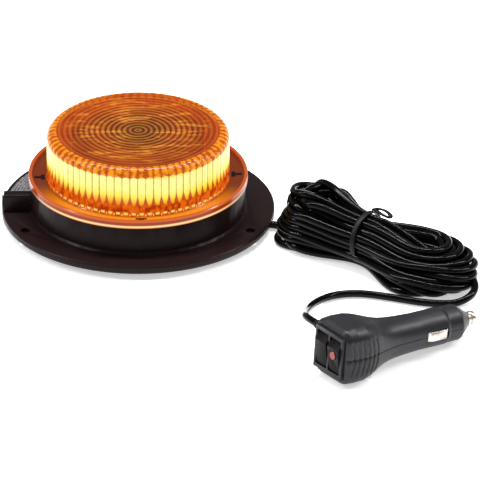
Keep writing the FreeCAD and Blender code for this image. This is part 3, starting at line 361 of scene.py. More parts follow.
# %% Let the turns settle
def settle(control, radius, rounds):
    """Push overlapping strands apart without kinking them; returns the settled control points."""
    shares = np.array([[(1 - u) ** 2 / 2, 0.5 + u * (1 - u), u * u / 2] for u in (0, 0.25, 0.5, 0.75)])
    moved = np.zeros_like(control)
    wanted = 2 * radius * 1.02
    for step in range(rounds):
        path = control + moved
        samples = sum(shares[None, :, part, None] * path[part:len(path) - 2 + part, None]
                      for part in range(3)).reshape(-1, 3)
        if step % 5 == 0:
            gaps = np.linalg.norm(samples[:, None] - samples[None], axis=2)
            first, second = np.nonzero(gaps < 1.8 * wanted)
            far = second - first > 9
            first, second = first[far], second[far]
        span = samples[second] - samples[first]
        distance = np.linalg.norm(span, axis=1) + 1e-6
        push = (0.5 * np.clip(wanted - distance, 0, None) / distance)[:, None] * span
        force = np.zeros_like(samples)
        count = np.ones(len(samples))
        np.add.at(force, first, -push)
        np.add.at(force, second, push)
        np.add.at(count, first, distance < wanted)
        np.add.at(count, second, distance < wanted)
        force = (force / np.sqrt(count)[:, None]).reshape(len(path) - 2, 4, 3)
        shift = np.zeros_like(path)
        for part in range(3):
            shift[part:len(path) - 2 + part] += (shares[None, :, part, None] * force).sum(1)
        moved += 0.5 * shift
        moved[1:-1] = 0.8 * moved[1:-1] + 0.1 * (moved[:-2] + moved[2:])
        keep_inside(control, moved, radius)
    return control + moved


def keep_inside(control, moved, radius):
    """Hold the points above the floor and draw strays back towards the outline."""
    path = control + moved
    half = outline(path[:, 0], 1) - radius
    centre = outline(path[:, 0], 2)
    tall = outline(path[:, 0], 3)
    side = np.clip(path[:, 1], centre - half, centre + half)
    lean = np.clip(np.abs(side - centre) / (half + 1e-6), 0, 1)
    roof = tall / 2 + (tall / 2 - radius) * np.sqrt(1 - lean ** 2 * 0.75)
    height = np.clip(path[:, 2], radius, roof)
    moved[:, 1] += 0.5 * (side - path[:, 1])
    moved[:, 2] += 0.6 * (height - path[:, 2])
    low = control[:, 2] + moved[:, 2] < radius
    moved[low, 2] = radius - control[low, 2]


hank_points = in_hank(settle(laid, CORD_RADIUS, 90))
route = [Vector(point) * MM for point in LEAD + [tuple(point) for point in hank_points] + TAIL]
print(len(route), "points in the route")

# %% [markdown]
# A curve object with a round bevel is the natural cord: its centre line stays editable and its
# length can be measured. A spline of order three passes close to its points and never overshoots,
# which matters where strands lie a hair apart.


# %% The cord as one smooth curve
def make_cord(points):
    """A round curve of one open spline through the route."""
    curve = bpy.data.curves.new("power_cord", "CURVE")
    curve.dimensions = "3D"
    spline = curve.splines.new("NURBS")
    spline.points.add(len(points) - 1)
    for slot, point in zip(spline.points, points):
        slot.co = (*point, 1.0)
    spline.order_u = 3
    spline.use_endpoint_u = True
    spline.resolution_u = 4
    curve.bevel_depth = CORD_RADIUS * MM
    curve.bevel_resolution = 3
    curve.use_fill_caps = True
    cord = bpy.data.objects.new("power_cord", curve)
    scene.collection.objects.link(cord)
    return cord


def line_length(curve_object):
    """The length of a curve's own line."""
    bare = curve_object.copy()
    bare.data = curve_object.data.copy()
    bare.data.bevel_depth = 0
    scene.collection.objects.link(bare)
    bpy.context.view_layer.update()
    mesh = bpy.data.meshes.new_from_object(bare.evaluated_get(bpy.context.evaluated_depsgraph_get()))
    spots = [vertex.co for vertex in mesh.vertices]
    bpy.data.objects.remove(bare)
    return sum((there - here).length for here, there in zip(spots, spots[1:]))


cord = make_cord(route)
cord_length = line_length(cord)
print("cord length", round(cord_length, 3), "m")

# %% [markdown]
# ## Finishes
# The black parts are moulded plastic: almost black, slightly uneven in sheen, with a fine grain that
# breaks up highlights. The cord's jacket is smoother and glossier. One function makes each family,
# so that neighbours differ in tint and gloss but not in kind.


# %% Black plastics, rubber and cord
def moulded(name, dark, light, rough, grain=0.00003, ior=1.3, grain_scale=1800.0):
    """Moulded plastic or rubber with cloudy tint, uneven gloss and a fine grain."""
    material, tree, shader = new_material(name)
    cloud = object_noise(tree, 60.0, 4.0)
    tree.links.new(mix_colour(tree, cloud, dark, light), shader.inputs["Base Color"])
    patch = object_noise(tree, 140.0, 3.0)
    tree.links.new(math_node(tree, "MULTIPLY_ADD", patch, 0.1, rough - 0.05), shader.inputs["Roughness"])
    shader.inputs["IOR"].default_value = ior
    add_bump(tree, shader, object_noise(tree, grain_scale, 2.0), grain, 0.6)
    return material


# housing_black is near-black plastic with a red cast that is a painted reflection of the lens's orange glow
housing_black = moulded("housing_black", (0.0085, 0.0035, 0.0037), (0.0135, 0.006, 0.0062), 0.33, ior=1.18)
plug_black = moulded("plug_black", (0.0085, 0.008, 0.0105), (0.0155, 0.0145, 0.018), 0.38, ior=1.36)
rocker_black = moulded("rocker_black", (0.005, 0.004, 0.005), (0.009, 0.007, 0.008), 0.42, ior=1.15)
bezel_black = moulded("bezel_black", (0.009, 0.008, 0.010), (0.015, 0.014, 0.016), 0.34, ior=1.32)
rubber_black = moulded("rubber_black", (0.006, 0.006, 0.006), (0.012, 0.011, 0.011), 0.6, 0.00006,
                       1.25, 900.0)
cord_black = moulded("cord_black", (0.001, 0.001, 0.0013), (0.003, 0.0025, 0.003), 0.13, 0.00004,
                     1.2, 260.0)
tie_black = moulded("tie_black", (0.004, 0.004, 0.004), (0.009, 0.008, 0.008), 0.45, 0.00005,
                    1.25, 700.0)
cord.data.materials.append(cord_black)
print(len(bpy.data.materials), "finishes so far")

# %% [markdown]
# Plated metal differs from plastic in one big way: its colour is in its reflections. Fine scratches
# in the roughness and a faint bump stop it from looking like a mirror. Boards, sleeves and coloured
# plastics are simpler: a tint with small specks.


# %% Metals, boards and coloured plastics
def metal(name, colour, rough, scratch=1.0):
    """Plated or plain metal with fine scratches and uneven polish."""
    material, tree, shader = new_material(name)
    cloud = object_noise(tree, 220.0, 4.0)
    dull = tuple(0.72 * part for part in colour)
    worn = ramp(tree, cloud, 0.35, 0.75)
    tree.links.new(mix_colour(tree, worn, colour, dull), shader.inputs["Base Color"])
    shader.inputs["Metallic"].default_value = 1.0
    lines = object_noise(tree, 900.0, 3.0, 0.6, (1, 1, 7))
    tree.links.new(math_node(tree, "MULTIPLY_ADD", lines, 0.22, rough - 0.08), shader.inputs["Roughness"])
    add_bump(tree, shader, lines, 0.00001 * scratch, 0.5)
    return material


def coloured(name, low, high, rough, speck_scale=500.0, glow=None, glow_strength=0.0):
    """Coloured plastic, lacquer or print with small specks of a second tint."""
    material, tree, shader = new_material(name)
    speck = ramp(tree, object_noise(tree, speck_scale, 4.0), 0.42, 0.62)
    tree.links.new(mix_colour(tree, speck, low, high), shader.inputs["Base Color"])
    shader.inputs["Roughness"].default_value = rough
    add_bump(tree, shader, object_noise(tree, speck_scale * 3, 2.0), 0.00002, 0.5)
    if glow:
        shader.inputs["Emission Color"].default_value = (*glow, 1.0)
        shader.inputs["Emission Strength"].default_value = glow_strength
    return material


nickel = metal("nickel", (0.60, 0.54, 0.49), 0.26, 2.0)
zinc = metal("zinc", (0.62, 0.62, 0.63), 0.34)
brass = metal("brass", (0.78, 0.60, 0.30), 0.3)
bare_aluminium = metal("bare_aluminium", (0.80, 0.80, 0.81), 0.36, 2.0)
ferrite = coloured("ferrite", (0.03, 0.03, 0.032), (0.06, 0.06, 0.062), 0.55, 700.0)
solder_mask = coloured("solder_mask", (0.62, 0.63, 0.60), (0.74, 0.74, 0.70), 0.35, 420.0)
chip_black = coloured("chip_black", (0.02, 0.02, 0.02), (0.035, 0.035, 0.035), 0.5, 900.0)
wire_red = coloured("wire_red", (0.30, 0.02, 0.02), (0.38, 0.03, 0.03), 0.4, 600.0)
can_blue = coloured("can_blue", (0.05, 0.06, 0.12), (0.09, 0.10, 0.16), 0.3, 300.0)
led_phosphor = coloured("led_phosphor", (0.9, 0.7, 0.15), (1.0, 0.8, 0.25), 0.3, 800.0,
                        (1.0, 0.62, 0.12), 3.0)
fuse_glass = coloured("fuse_glass", (0.55, 0.60, 0.60), (0.65, 0.70, 0.70), 0.12, 500.0)
print(len(bpy.data.materials), "finishes")

# %% [markdown]
# ## Hidden pieces
# The board, tower, magnet and fuse train are inside or underneath. Their engineered shapes are
# right as they are, so they only take a finish.

# %% Give the hidden nodes their finishes
HIDDEN = {
    "bottom_cover": housing_black, "cover_screws": zinc, "magnet_cup": zinc, "magnet_ring": ferrite,
    "magnet_screw": zinc, "magnet_nut": zinc, "lamp_leads": wire_red, "lead_connector": chip_black,
    "driver_board": solder_mask, "board_screws": zinc, "capacitors": can_blue, "inductor": ferrite,
    "controller_chip": chip_black, "power_transistors": chip_black, "tower_spacers": brass,
    "tower_plate": bare_aluminium, "tower_screws": zinc, "led_tower": bare_aluminium,
    "led_boards": solder_mask, "leds": led_phosphor, "cap_spacers": brass, "tower_cap": bare_aluminium,
    "cap_screws": zinc, "lens_seal": rubber_black, "power_switch": chip_black, "mode_switch": chip_black,
    "plug_board": solder_mask, "rear_contact": brass, "plug_leads": wire_red, "contact_spring": zinc,
    "fuse": fuse_glass,
}
for node, finish in HIDDEN.items():
    for holder in NODES[node].material_slots:
        holder.material = finish
print(len(HIDDEN), "hidden nodes finished")

# %% [markdown]
# ## From frame to finished piece
# Engineered shapes have razor edges, and real ones never do. A piece that already has the right
# shape is copied, its loose triangles are merged, and a small bevel rounds its edges. The same few
# helpers also link every finished mesh, tie it to the body that it rides on, and hide the engineered
# nodes that it replaces.


# %% Helpers for finished meshes
def add_piece(name, mesh, body, *replaced, slot=None):
    """Link a mesh as a piece that rides on a body, and hide the engineered nodes that it replaces."""
    piece = bpy.data.objects.new(name, mesh)
    scene.collection.objects.link(piece)
    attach(piece, body)
    if replaced:
        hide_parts(*replaced)
    return piece


def baked(holder):
    """The mesh of an object with its modifiers applied; the object is then removed."""
    bpy.context.view_layer.update()
    found = holder.evaluated_get(bpy.context.evaluated_depsgraph_get())
    mesh = bpy.data.meshes.new_from_object(found)
    mesh.name = holder.name
    bpy.data.objects.remove(holder)
    return mesh


def holder_of(name, mesh):
    """A linked object to hang modifiers on."""
    holder = bpy.data.objects.new(name, mesh)
    scene.collection.objects.link(holder)
    return holder


def mesh_from(name, shape, sharp=None):
    """A bmesh turned into a named mesh; edges sharper than an angle in degrees stay crisp."""
    mesh = bpy.data.meshes.new(name)
    shape.to_mesh(mesh)
    shape.free()
    if sharp:
        mesh.set_sharp_from_angle(angle=math.radians(sharp))
    return mesh


def softened(name, node, finish, width):
    """A merged copy of an engineered node with rounded edges and smooth shading."""
    shape = bmesh.new()
    shape.from_mesh(NODES[node].data)
    bmesh.ops.remove_doubles(shape, verts=shape.verts, dist=1e-6)
    bmesh.ops.dissolve_limit(shape, angle_limit=math.radians(0.6), verts=shape.verts, edges=shape.edges)
    for face in shape.faces:
        face.smooth = True
        face.material_index = 0
    mesh = mesh_from(name, shape)
    mesh.materials.append(finish)
    holder = holder_of(name, mesh)
    bevel = holder.modifiers.new("round_edges", "BEVEL")
    bevel.width = width * MM
    bevel.segments = 2
    bevel.limit_method = "ANGLE"
    bevel.angle_limit = math.radians(32.0)
    bevel.harden_normals = True
    bevel.use_clamp_overlap = True
    return baked(holder)


print("mesh helpers ready")

# %% [markdown]
# ## The housing
# One black moulding carries the flange, the round wall, the blanked side duct, the three screw holes
# and the four small hooks that hold the lens. It already has the right shape, so it is copied,
# cleaned, and given the small rounded edges that catch light on a real moulding.

# %% Housing, blank and boot
add_piece("housing_shell", softened("housing_shell", "base_housing", housing_black, 0.4), "beacon",
          "base_housing", slot="housing")
add_piece("duct_blank", softened("duct_blank", "duct_plug", rubber_black, 0.25), "beacon", "duct_plug",
          slot="rubber")
add_piece("magnet_cover", softened("magnet_cover", "magnet_boot", rubber_black, 0.3), "beacon",
          "magnet_boot", slot="rubber")
add_piece("cord_gland", softened("cord_gland", "cable_gland", rubber_black, 0.15), "beacon",
          "cable_gland", slot="rubber")
print("housing made")

# %% [markdown]
# ## The rating label
# A grey foil sticker follows the flange behind the duct. Its small print is only suggested: rows of
# broken dark marks that run round the flange, with no real letters.


# %% Label
def polar_sockets(tree):
    """Height and radius in millimetres and the angle round the lamp, from Object coordinates."""
    place = add_node(tree, "ShaderNodeTexCoord")
    split = add_node(tree, "ShaderNodeSeparateXYZ")
    tree.links.new(place.outputs["Object"], split.inputs[0])
    across, deep, up = split.outputs
    radius = math_node(tree, "MULTIPLY", flat_distance(tree, across, deep), 1000.0)
    height = math_node(tree, "MULTIPLY", up, 1000.0)
    return height, radius, math_node(tree, "ARCTAN2", deep, across)


def label_material():
    """Brushed grey foil with rows of broken dark print."""
    material, tree, shader = new_material("label_foil")
    _, radius, angle = polar_sockets(tree)
    rows = math_node(tree, "MULTIPLY", radius, 0.62)
    row = math_node(tree, "FRACT", rows)
    line = math_node(tree, "FLOOR", rows)
    spot = add_node(tree, "ShaderNodeCombineXYZ")
    tree.links.new(math_node(tree, "MULTIPLY", angle, 60.0), spot.inputs[0])
    tree.links.new(math_node(tree, "MULTIPLY", line, 7.3), spot.inputs[1])
    noise = add_node(tree, "ShaderNodeTexNoise", {"Scale": 1.0, "Detail": 1.0})
    tree.links.new(spot.outputs[0], noise.inputs["Vector"])
    mark = math_node(tree, "MULTIPLY", ramp(tree, noise.outputs["Fac"], 0.44, 0.5),
                     math_node(tree, "GREATER_THAN", row, 0.45))
    cloud = object_noise(tree, 300.0, 3.0)
    foil = mix_colour(tree, cloud, (0.20, 0.19, 0.19), (0.34, 0.33, 0.33))
    tree.links.new(mix_colour(tree, mark, foil, (0.03, 0.028, 0.03)), shader.inputs["Base Color"])
    shader.inputs["Metallic"].default_value = 0.4
    tree.links.new(math_node(tree, "MULTIPLY_ADD", cloud, 0.2, 0.3), shader.inputs["Roughness"])
    add_bump(tree, shader, object_noise(tree, 2500.0), 0.00001, 0.4)
    return material


for holder in NODES["rating_label"].material_slots:
    holder.material = label_material()
print("label printed")

# %% [markdown]
# ## The lens
# The amber dome is one injection moulding. A closed section is turned round the axis, four T-shaped
# slots are cut through the ring for the hooks, and then a small node group raises the upright flutes
# round the wall and the circular ripples on top. Its inputs are named, so the same group could make a
# lens with other numbers of flutes.


# %% Turned meshes
def revolve(name, profile, steps, place=None):
    """A closed turned mesh; profile is a loop of (radius, along) in millimetres."""
    shape = bmesh.new()
    rings = []
    for radius, along in profile:
        if radius < 1e-6:
            rings.append([shape.verts.new((0, 0, along))] * steps)
            continue
        rings.append([shape.verts.new((radius * math.cos(math.tau * step / steps),
                                       radius * math.sin(math.tau * step / steps), along))
                      for step in range(steps)])
    for here, there in zip(rings, rings[1:] + rings[:1]):
        if here[0] is here[1] and there[0] is there[1]:
            continue
        for step in range(steps):
            after = (step + 1) % steps
            corners = [here[step], here[after], there[after], there[step]]
            unique = list(dict.fromkeys(corners))
            shape.faces.new(unique).smooth = True
    bmesh.ops.recalc_face_normals(shape, faces=shape.faces)
    if place:
        shape.transform(place)
    shape.transform(Matrix.Scale(MM, 4))
    return mesh_from(name, shape, 38)


def block(name, low, high, place=None):
    """A box between two corners in millimetres."""
    shape = bmesh.new()
    bmesh.ops.create_cube(shape, size=1.0)
    middle = [(a + b) / 2 for a, b in zip(low, high)]
    span = [b - a for a, b in zip(low, high)]
    shape.transform(Matrix.Translation(middle) @ Matrix.Diagonal((*span, 1.0)))
    if place:
        shape.transform(place)
    shape.transform(Matrix.Scale(MM, 4))
    return mesh_from(name, shape)


def cut(mesh, cutters):
    """The mesh with each cutter mesh taken away."""
    name = mesh.name
    holder = holder_of(name, mesh)
    tools = [holder_of(name + "_cutter", cutter) for cutter in cutters]
    for tool in tools:
        removal = holder.modifiers.new("cut", "BOOLEAN")
        removal.operation = "DIFFERENCE"
        removal.solver = "MANIFOLD"
        removal.object = tool
    result = baked(holder)
    for tool in tools:
        bpy.data.objects.remove(tool)
    return result


print("turning and cutting ready")

# %% [markdown]
# The section starts at the lip that sits in the housing, climbs the rim, crosses the channel, goes up
# the wall and over the shoulder, and comes back inside. The wall and the top get extra points where
# the flutes and ripples will need them. A real lens of this kind locks on with a small turn, which is
# what the T-shaped slots are for.

# %% The lens section and its slots
HOOK_TURN = math.radians(2.0)
FLUTES = 72
RIPPLE_PITCH = 3.0


def lens_profile():
    """The closed section of the lens as (radius, height)."""
    outer = [(54.6, 21.0), (56.4, 21.0), (56.4, 23.5), (59.9, 23.5), (60.3, 23.9), (60.3, 28.1),
             (59.9, 28.5), (58.8, 28.5), (58.4, 28.1), (58.4, 26.3), (58.1, 26.0), (55.0, 26.0),
             (50.6, 26.0), (50.3, 26.3)]
    wall = [(50.3, 27.0 + 2.25 * step) for step in range(11)]
    shoulder = [(45.3 + 5.0 * math.cos(angle), 49.6 + 4.4 * math.sin(angle))
                for angle in (math.radians(10 * step) for step in range(1, 9))]
    top = [(45.0 - 0.6 * step, 54.0) for step in range(75)] + [(0.0, 54.0)]
    inner = [(0.0, 51.8), (20.0, 51.8), (44.3, 51.8), (46.4, 50.6), (47.4, 48.5), (47.4, 36.0),
             (47.4, 23.5), (54.6, 23.5)]
    return outer + wall + shoulder + top + inner


def slot_cutters():
    """The bar and the stem of each T-shaped slot."""
    cutters = []
    for quarter in range(4):
        turned = Matrix.Rotation(HOOK_TURN + quarter * math.pi / 2, 4, "Z")
        cutters.append(block("bar", (51.25, -3.25, 20.0), (53.45, 3.25, 27.0), turned))
        cutters.append(block("stem", (53.2, -1.55, 20.0), (57.25, 1.55, 27.0), turned))
    return cutters


lens_mesh = cut(revolve("amber_dome", lens_profile(), 432), slot_cutters())
print("lens before flutes:", len(lens_mesh.polygons), "faces")

# %% [markdown]
# Modelling 72 flutes one by one would be slow to change. The node group moves each point of the
# turned lens instead: inwards on the wall by a wave round the axis, and down on the top by a wave
# along the radius. The lens stays one closed surface.


# %% Flutes and ripples as a node group
def flute_group():
    """A node group that sinks flutes into a round wall and ripples into its flat top."""
    tree = bpy.data.node_groups.new("flutes_and_ripples", "GeometryNodeTree")
    tree.interface.new_socket("Geometry", in_out="INPUT", socket_type="NodeSocketGeometry")
    defaults = {"Flute count": FLUTES, "Flute depth": 0.00045, "Wall radius": 0.0455,
                "Wall foot": 0.0264, "Wall head": 0.0535, "Ripple pitch": RIPPLE_PITCH * MM,
                "Ripple depth": 0.00035, "Ripple reach": 0.0438, "Top level": 0.0536}
    for name, number in defaults.items():
        socket = tree.interface.new_socket(name, in_out="INPUT", socket_type="NodeSocketFloat")
        socket.default_value = number
    tree.interface.new_socket("Material", in_out="INPUT", socket_type="NodeSocketMaterial")
    tree.interface.new_socket("Geometry", in_out="OUTPUT", socket_type="NodeSocketGeometry")
    given = add_node(tree, "NodeGroupInput").outputs
    place = add_node(tree, "GeometryNodeInputPosition")
    split = add_node(tree, "ShaderNodeSeparateXYZ")
    tree.links.new(place.outputs[0], split.inputs[0])
    across, deep, up = split.outputs
    radius = flat_distance(tree, across, deep)
    angle = math_node(tree, "ARCTAN2", deep, across)
    wave = math_node(tree, "SINE", math_node(tree, "MULTIPLY", angle, math_node(
        tree, "MULTIPLY", given["Flute count"], 0.5)))
    groove = math_node(tree, "SUBTRACT", 1.0, math_node(tree, "ABSOLUTE", wave))
    on_wall = math_node(tree, "MULTIPLY", math_node(tree, "GREATER_THAN", up, given["Wall foot"]),
                        math_node(tree, "GREATER_THAN", given["Wall head"], up))
    outside = math_node(tree, "GREATER_THAN", radius, math_node(tree, "ADD", given["Wall radius"], 0.0022))
    low_rim = math_node(tree, "LESS_THAN", radius, math_node(tree, "ADD", given["Wall radius"], 0.006))
    sink = math_node(tree, "MULTIPLY", math_node(tree, "MULTIPLY", groove, given["Flute depth"]),
                     math_node(tree, "MULTIPLY", on_wall, math_node(tree, "MULTIPLY", outside, low_rim)))
    share = math_node(tree, "DIVIDE", sink, math_node(tree, "MAXIMUM", radius, 0.001))
    ring = math_node(tree, "ABSOLUTE", math_node(tree, "SINE", math_node(
        tree, "DIVIDE", math_node(tree, "MULTIPLY", radius, math.pi), given["Ripple pitch"])))
    on_top = math_node(tree, "MULTIPLY", math_node(tree, "GREATER_THAN", up, given["Top level"]),
                       math_node(tree, "GREATER_THAN", given["Ripple reach"], radius))
    drop = math_node(tree, "MULTIPLY", math_node(tree, "MULTIPLY", math_node(
        tree, "SUBTRACT", 1.0, ring), given["Ripple depth"]), on_top)
    shift = add_node(tree, "ShaderNodeCombineXYZ")
    for index, part in enumerate((across, deep)):
        inward = math_node(tree, "MULTIPLY", math_node(tree, "MULTIPLY", part, share), -1.0)
        tree.links.new(inward, shift.inputs[index])
    tree.links.new(math_node(tree, "MULTIPLY", drop, -1.0), shift.inputs[2])
    move = add_node(tree, "GeometryNodeSetPosition")
    realize = add_node(tree, "GeometryNodeRealizeInstances")
    dress = add_node(tree, "GeometryNodeSetMaterial")
    end = add_node(tree, "NodeGroupOutput")
    tree.links.new(given["Geometry"], move.inputs["Geometry"])
    tree.links.new(shift.outputs[0], move.inputs["Offset"])
    tree.links.new(move.outputs[0], realize.inputs[0])
    tree.links.new(realize.outputs[0], dress.inputs["Geometry"])
    tree.links.new(given["Material"], dress.inputs["Material"])
    tree.links.new(dress.outputs[0], end.inputs[0])
    return tree


def with_group(name, mesh, group, settings):
    """The mesh after a node group whose inputs are set by their names."""
    holder = holder_of(name, mesh)
    modifier = holder.modifiers.new("nodes", "NODES")
    modifier.node_group = group
    for item in group.interface.items_tree:
        if item.in_out == "INPUT" and item.name in settings:
            modifier[item.identifier] = settings[item.name]
    return baked(holder)


ripples_and_flutes = flute_group()
print("node group with", len(ripples_and_flutes.nodes), "nodes")

# %% [markdown]
# The lit look is painted into the lens as glow, chosen by where on the lens a point is. Light from the
# tower is painted on the upper wall, so each flute has a pale core and a thin dark gap; below the boards
# the wall is a deep red-orange with bright teeth at its foot, and the ring has a pale painted band at its
# edge. The teeth, the channel floor and the ring's band are painted bright only on the near side. On the
# top, dark lines in the ripple grooves are painted shade, and bright lines on their crests and golden
# flecks are painted highlights. The top is clear enough to show the tower faintly.


# %% Amber, with its inner light painted as glow
def stops(tree, source, colours):
    """A colour ramp through (place, colour) stops."""
    node = add_node(tree, "ShaderNodeValToRGB")
    tree.links.new(source, node.inputs[0])
    elements = node.color_ramp.elements
    while len(elements) > 1:
        elements.remove(elements[-1])
    elements[0].position, elements[0].color = colours[0][0], (*colours[0][1], 1.0)
    for position, colour in colours[1:]:
        elements.new(position).color = (*colour, 1.0)
    return node.outputs[0]


def band(tree, source, low, high, soft):
    """1 between two values, fading over a soft edge."""
    rise = ramp(tree, source, low - soft, low + soft)
    fall = ramp(tree, source, high - soft, high + soft)
    return math_node(tree, "MULTIPLY", rise, math_node(tree, "SUBTRACT", 1.0, fall))


def wall_glow(tree, height, lobe, between, painted_lit_side):
    """Painted glow of the wall: pale cores and darker gaps above, mottled red and bright teeth below."""
    streak = object_noise(tree, 420.0, 2.0, 0.5, (1, 1, 0.08))
    mottle = object_noise(tree, 330.0, 3.0)
    patch = object_noise(tree, 24.0, 1.0)
    level = add_node(tree, "ShaderNodeMapRange", {"From Min": 33.0, "From Max": 50.0})
    tree.links.new(math_node(tree, "MULTIPLY_ADD", patch, 6.0, math_node(tree, "ADD", height, -3.0)),
                   level.inputs["Value"])
    core = stops(tree, level.outputs[0], [(0.0, (0.85, 0.22, 0.006)), (0.14, (0.92, 0.50, 0.015)),
                                          (0.26, (0.93, 0.82, 0.05)), (0.5, (0.96, 0.97, 0.27)),
                                          (0.9, (0.97, 0.97, 0.36)), (1.0, (0.95, 0.78, 0.10))])
    gap = mix_colour(tree, ramp(tree, height, 34.0, 43.0), (0.50, 0.07, 0.002), (0.50, 0.37, 0.015))
    edge = math_node(tree, "MULTIPLY_ADD", ramp(tree, height, 32.4, 39.0), -0.66, 0.80)
    ragged = math_node(tree, "MULTIPLY_ADD", streak, 0.5,
                       math_node(tree, "MULTIPLY_ADD", mottle, 0.3, lobe))
    reach = math_node(tree, "SUBTRACT", ragged, math_node(tree, "ADD", edge, 0.4))
    inside = ramp(tree, reach, -0.10, 0.14)
    wall = mix_colour(tree, inside, gap, core)
    grain = ramp(tree, math_node(tree, "MULTIPLY_ADD", mottle, 0.6, math_node(
        tree, "MULTIPLY", streak, 0.4)), 0.40, 0.60)
    red = mix_colour(tree, grain, (0.80, 0.13, 0.004), (0.36, 0.022, 0.002))
    lift = math_node(tree, "MULTIPLY_ADD", streak, 3.0, math_node(tree, "ADD", height, -1.5))
    glow = mix_colour(tree, ramp(tree, lift, 31.8, 33.8), red, wall)
    # Painted light: bright teeth and nibs at the wall's foot, shown only on the near side.
    tooth = math_node(tree, "MULTIPLY", ramp(tree, lobe, 0.45, 0.95), band(tree, height, 26.9, 28.3, 0.45))
    nib = math_node(tree, "MULTIPLY", ramp(tree, between, 0.7, 0.95), band(tree, height, 26.4, 27.3, 0.25))
    painted_light_mask = math_node(tree, "MULTIPLY", math_node(tree, "MAXIMUM", tooth, nib), painted_lit_side)
    glow = mix_colour(tree, painted_light_mask, glow, (1.0, 0.66, 0.14))
    cell = ramp(tree, math_node(tree, "MULTIPLY_ADD", lobe, 0.3, mottle), 0.52, 0.86)
    shoulder = mix_colour(tree, cell, (0.44, 0.07, 0.001), (0.95, 0.34, 0.012))
    return mix_colour(tree, ramp(tree, math_node(tree, "MULTIPLY_ADD", between, 1.0, height), 49.5, 50.2),
                      glow, shoulder)


def ring_glow(tree, height, radius, painted_lit_side, glow):
    """Painted glow of the channel floor and the rim, bright only on the near side, where the rim gets a pale
    band.
    """
    # Painted light on the channel floor: strongest mid-channel and on the near side.
    middle = band(tree, radius, 51.4, 57.0, 1.2)
    lit = math_node(tree, "MULTIPLY", math_node(tree, "MULTIPLY_ADD", middle, 0.6, 0.4), painted_lit_side)
    floor_glow = mix_colour(tree, lit, (0.10, 0.018, 0.004), (0.95, 0.27, 0.008))
    on_floor = math_node(tree, "MULTIPLY", math_node(tree, "LESS_THAN", height, 26.25),
                         math_node(tree, "GREATER_THAN", radius, 50.45))
    glow = mix_colour(tree, on_floor, glow, floor_glow)
    # The rim by height: a pale painted band of light on the near side, dim colours on the far side.
    level = add_node(tree, "ShaderNodeMapRange", {"From Min": 23.5, "From Max": 28.5})
    tree.links.new(height, level.inputs["Value"])
    rim = stops(tree, level.outputs[0], [(0.0, (0.30, 0.03, 0.004)), (0.10, (0.80, 0.30, 0.06)),
                                         (0.18, (1.0, 0.74, 0.36)), (0.30, (1.0, 0.70, 0.30)),
                                         (0.42, (0.30, 0.03, 0.002)), (0.66, (0.26, 0.02, 0.001)),
                                         (0.84, (0.60, 0.12, 0.02)), (1.0, (0.55, 0.12, 0.02))])
    side = stops(tree, level.outputs[0], [(0.0, (0.10, 0.01, 0.002)), (0.3, (0.22, 0.03, 0.005)),
                                          (0.7, (0.20, 0.02, 0.003)), (1.0, (0.50, 0.09, 0.02))])
    edge = mix_colour(tree, painted_lit_side, side, rim)
    return mix_colour(tree, math_node(tree, "GREATER_THAN", radius, 58.35), glow, edge)


def top_colour(tree, radius, ripple):
    """The clear top: painted shade in the ripple grooves, painted highlights on their crests, a duller
    middle and golden flecks of painted highlight around it.
    """
    # Golden flecks are painted highlights.
    glint_fleck = ramp(tree, object_noise(tree, 110.0, 3.0, 0.6, (0.55, 2.2, 1)), 0.50, 0.66)
    middle = math_node(tree, "SUBTRACT", 1.0, ramp(tree, radius, 10.0, 26.0))
    cloud = object_noise(tree, 38.0, 3.0)
    outer = mix_colour(tree, ramp(tree, cloud, 0.35, 0.65), (0.19, 0.028, 0.003), (0.30, 0.060, 0.006))
    base = mix_colour(tree, middle, outer, (0.11, 0.040, 0.008))
    zone = band(tree, radius, 8.0, 39.0, 4.0)
    base = mix_colour(tree, math_node(tree, "MULTIPLY", math_node(tree, "MULTIPLY", glint_fleck, zone), 0.8),
                      base, (0.74, 0.30, 0.03))
    # Painted highlights on the ripple crests, fading towards the rim.
    fade = math_node(tree, "MULTIPLY_ADD", ramp(tree, radius, 20.0, 40.0), -0.5, 0.9)
    painted_light_mask = math_node(tree, "MULTIPLY", ramp(tree, ripple, 0.30, 0.04), 0.34)
    base = mix_colour(tree, math_node(tree, "MULTIPLY", painted_light_mask, fade), base, (0.86, 0.38, 0.06))
    # Painted shade: dark lines in the ripple grooves, fading towards the rim.
    dark = math_node(tree, "MULTIPLY", ramp(tree, ripple, 0.42, 0.85), 0.9)
    return mix_colour(tree, math_node(tree, "MULTIPLY", dark, fade), base, (0.07, 0.011, 0.002))


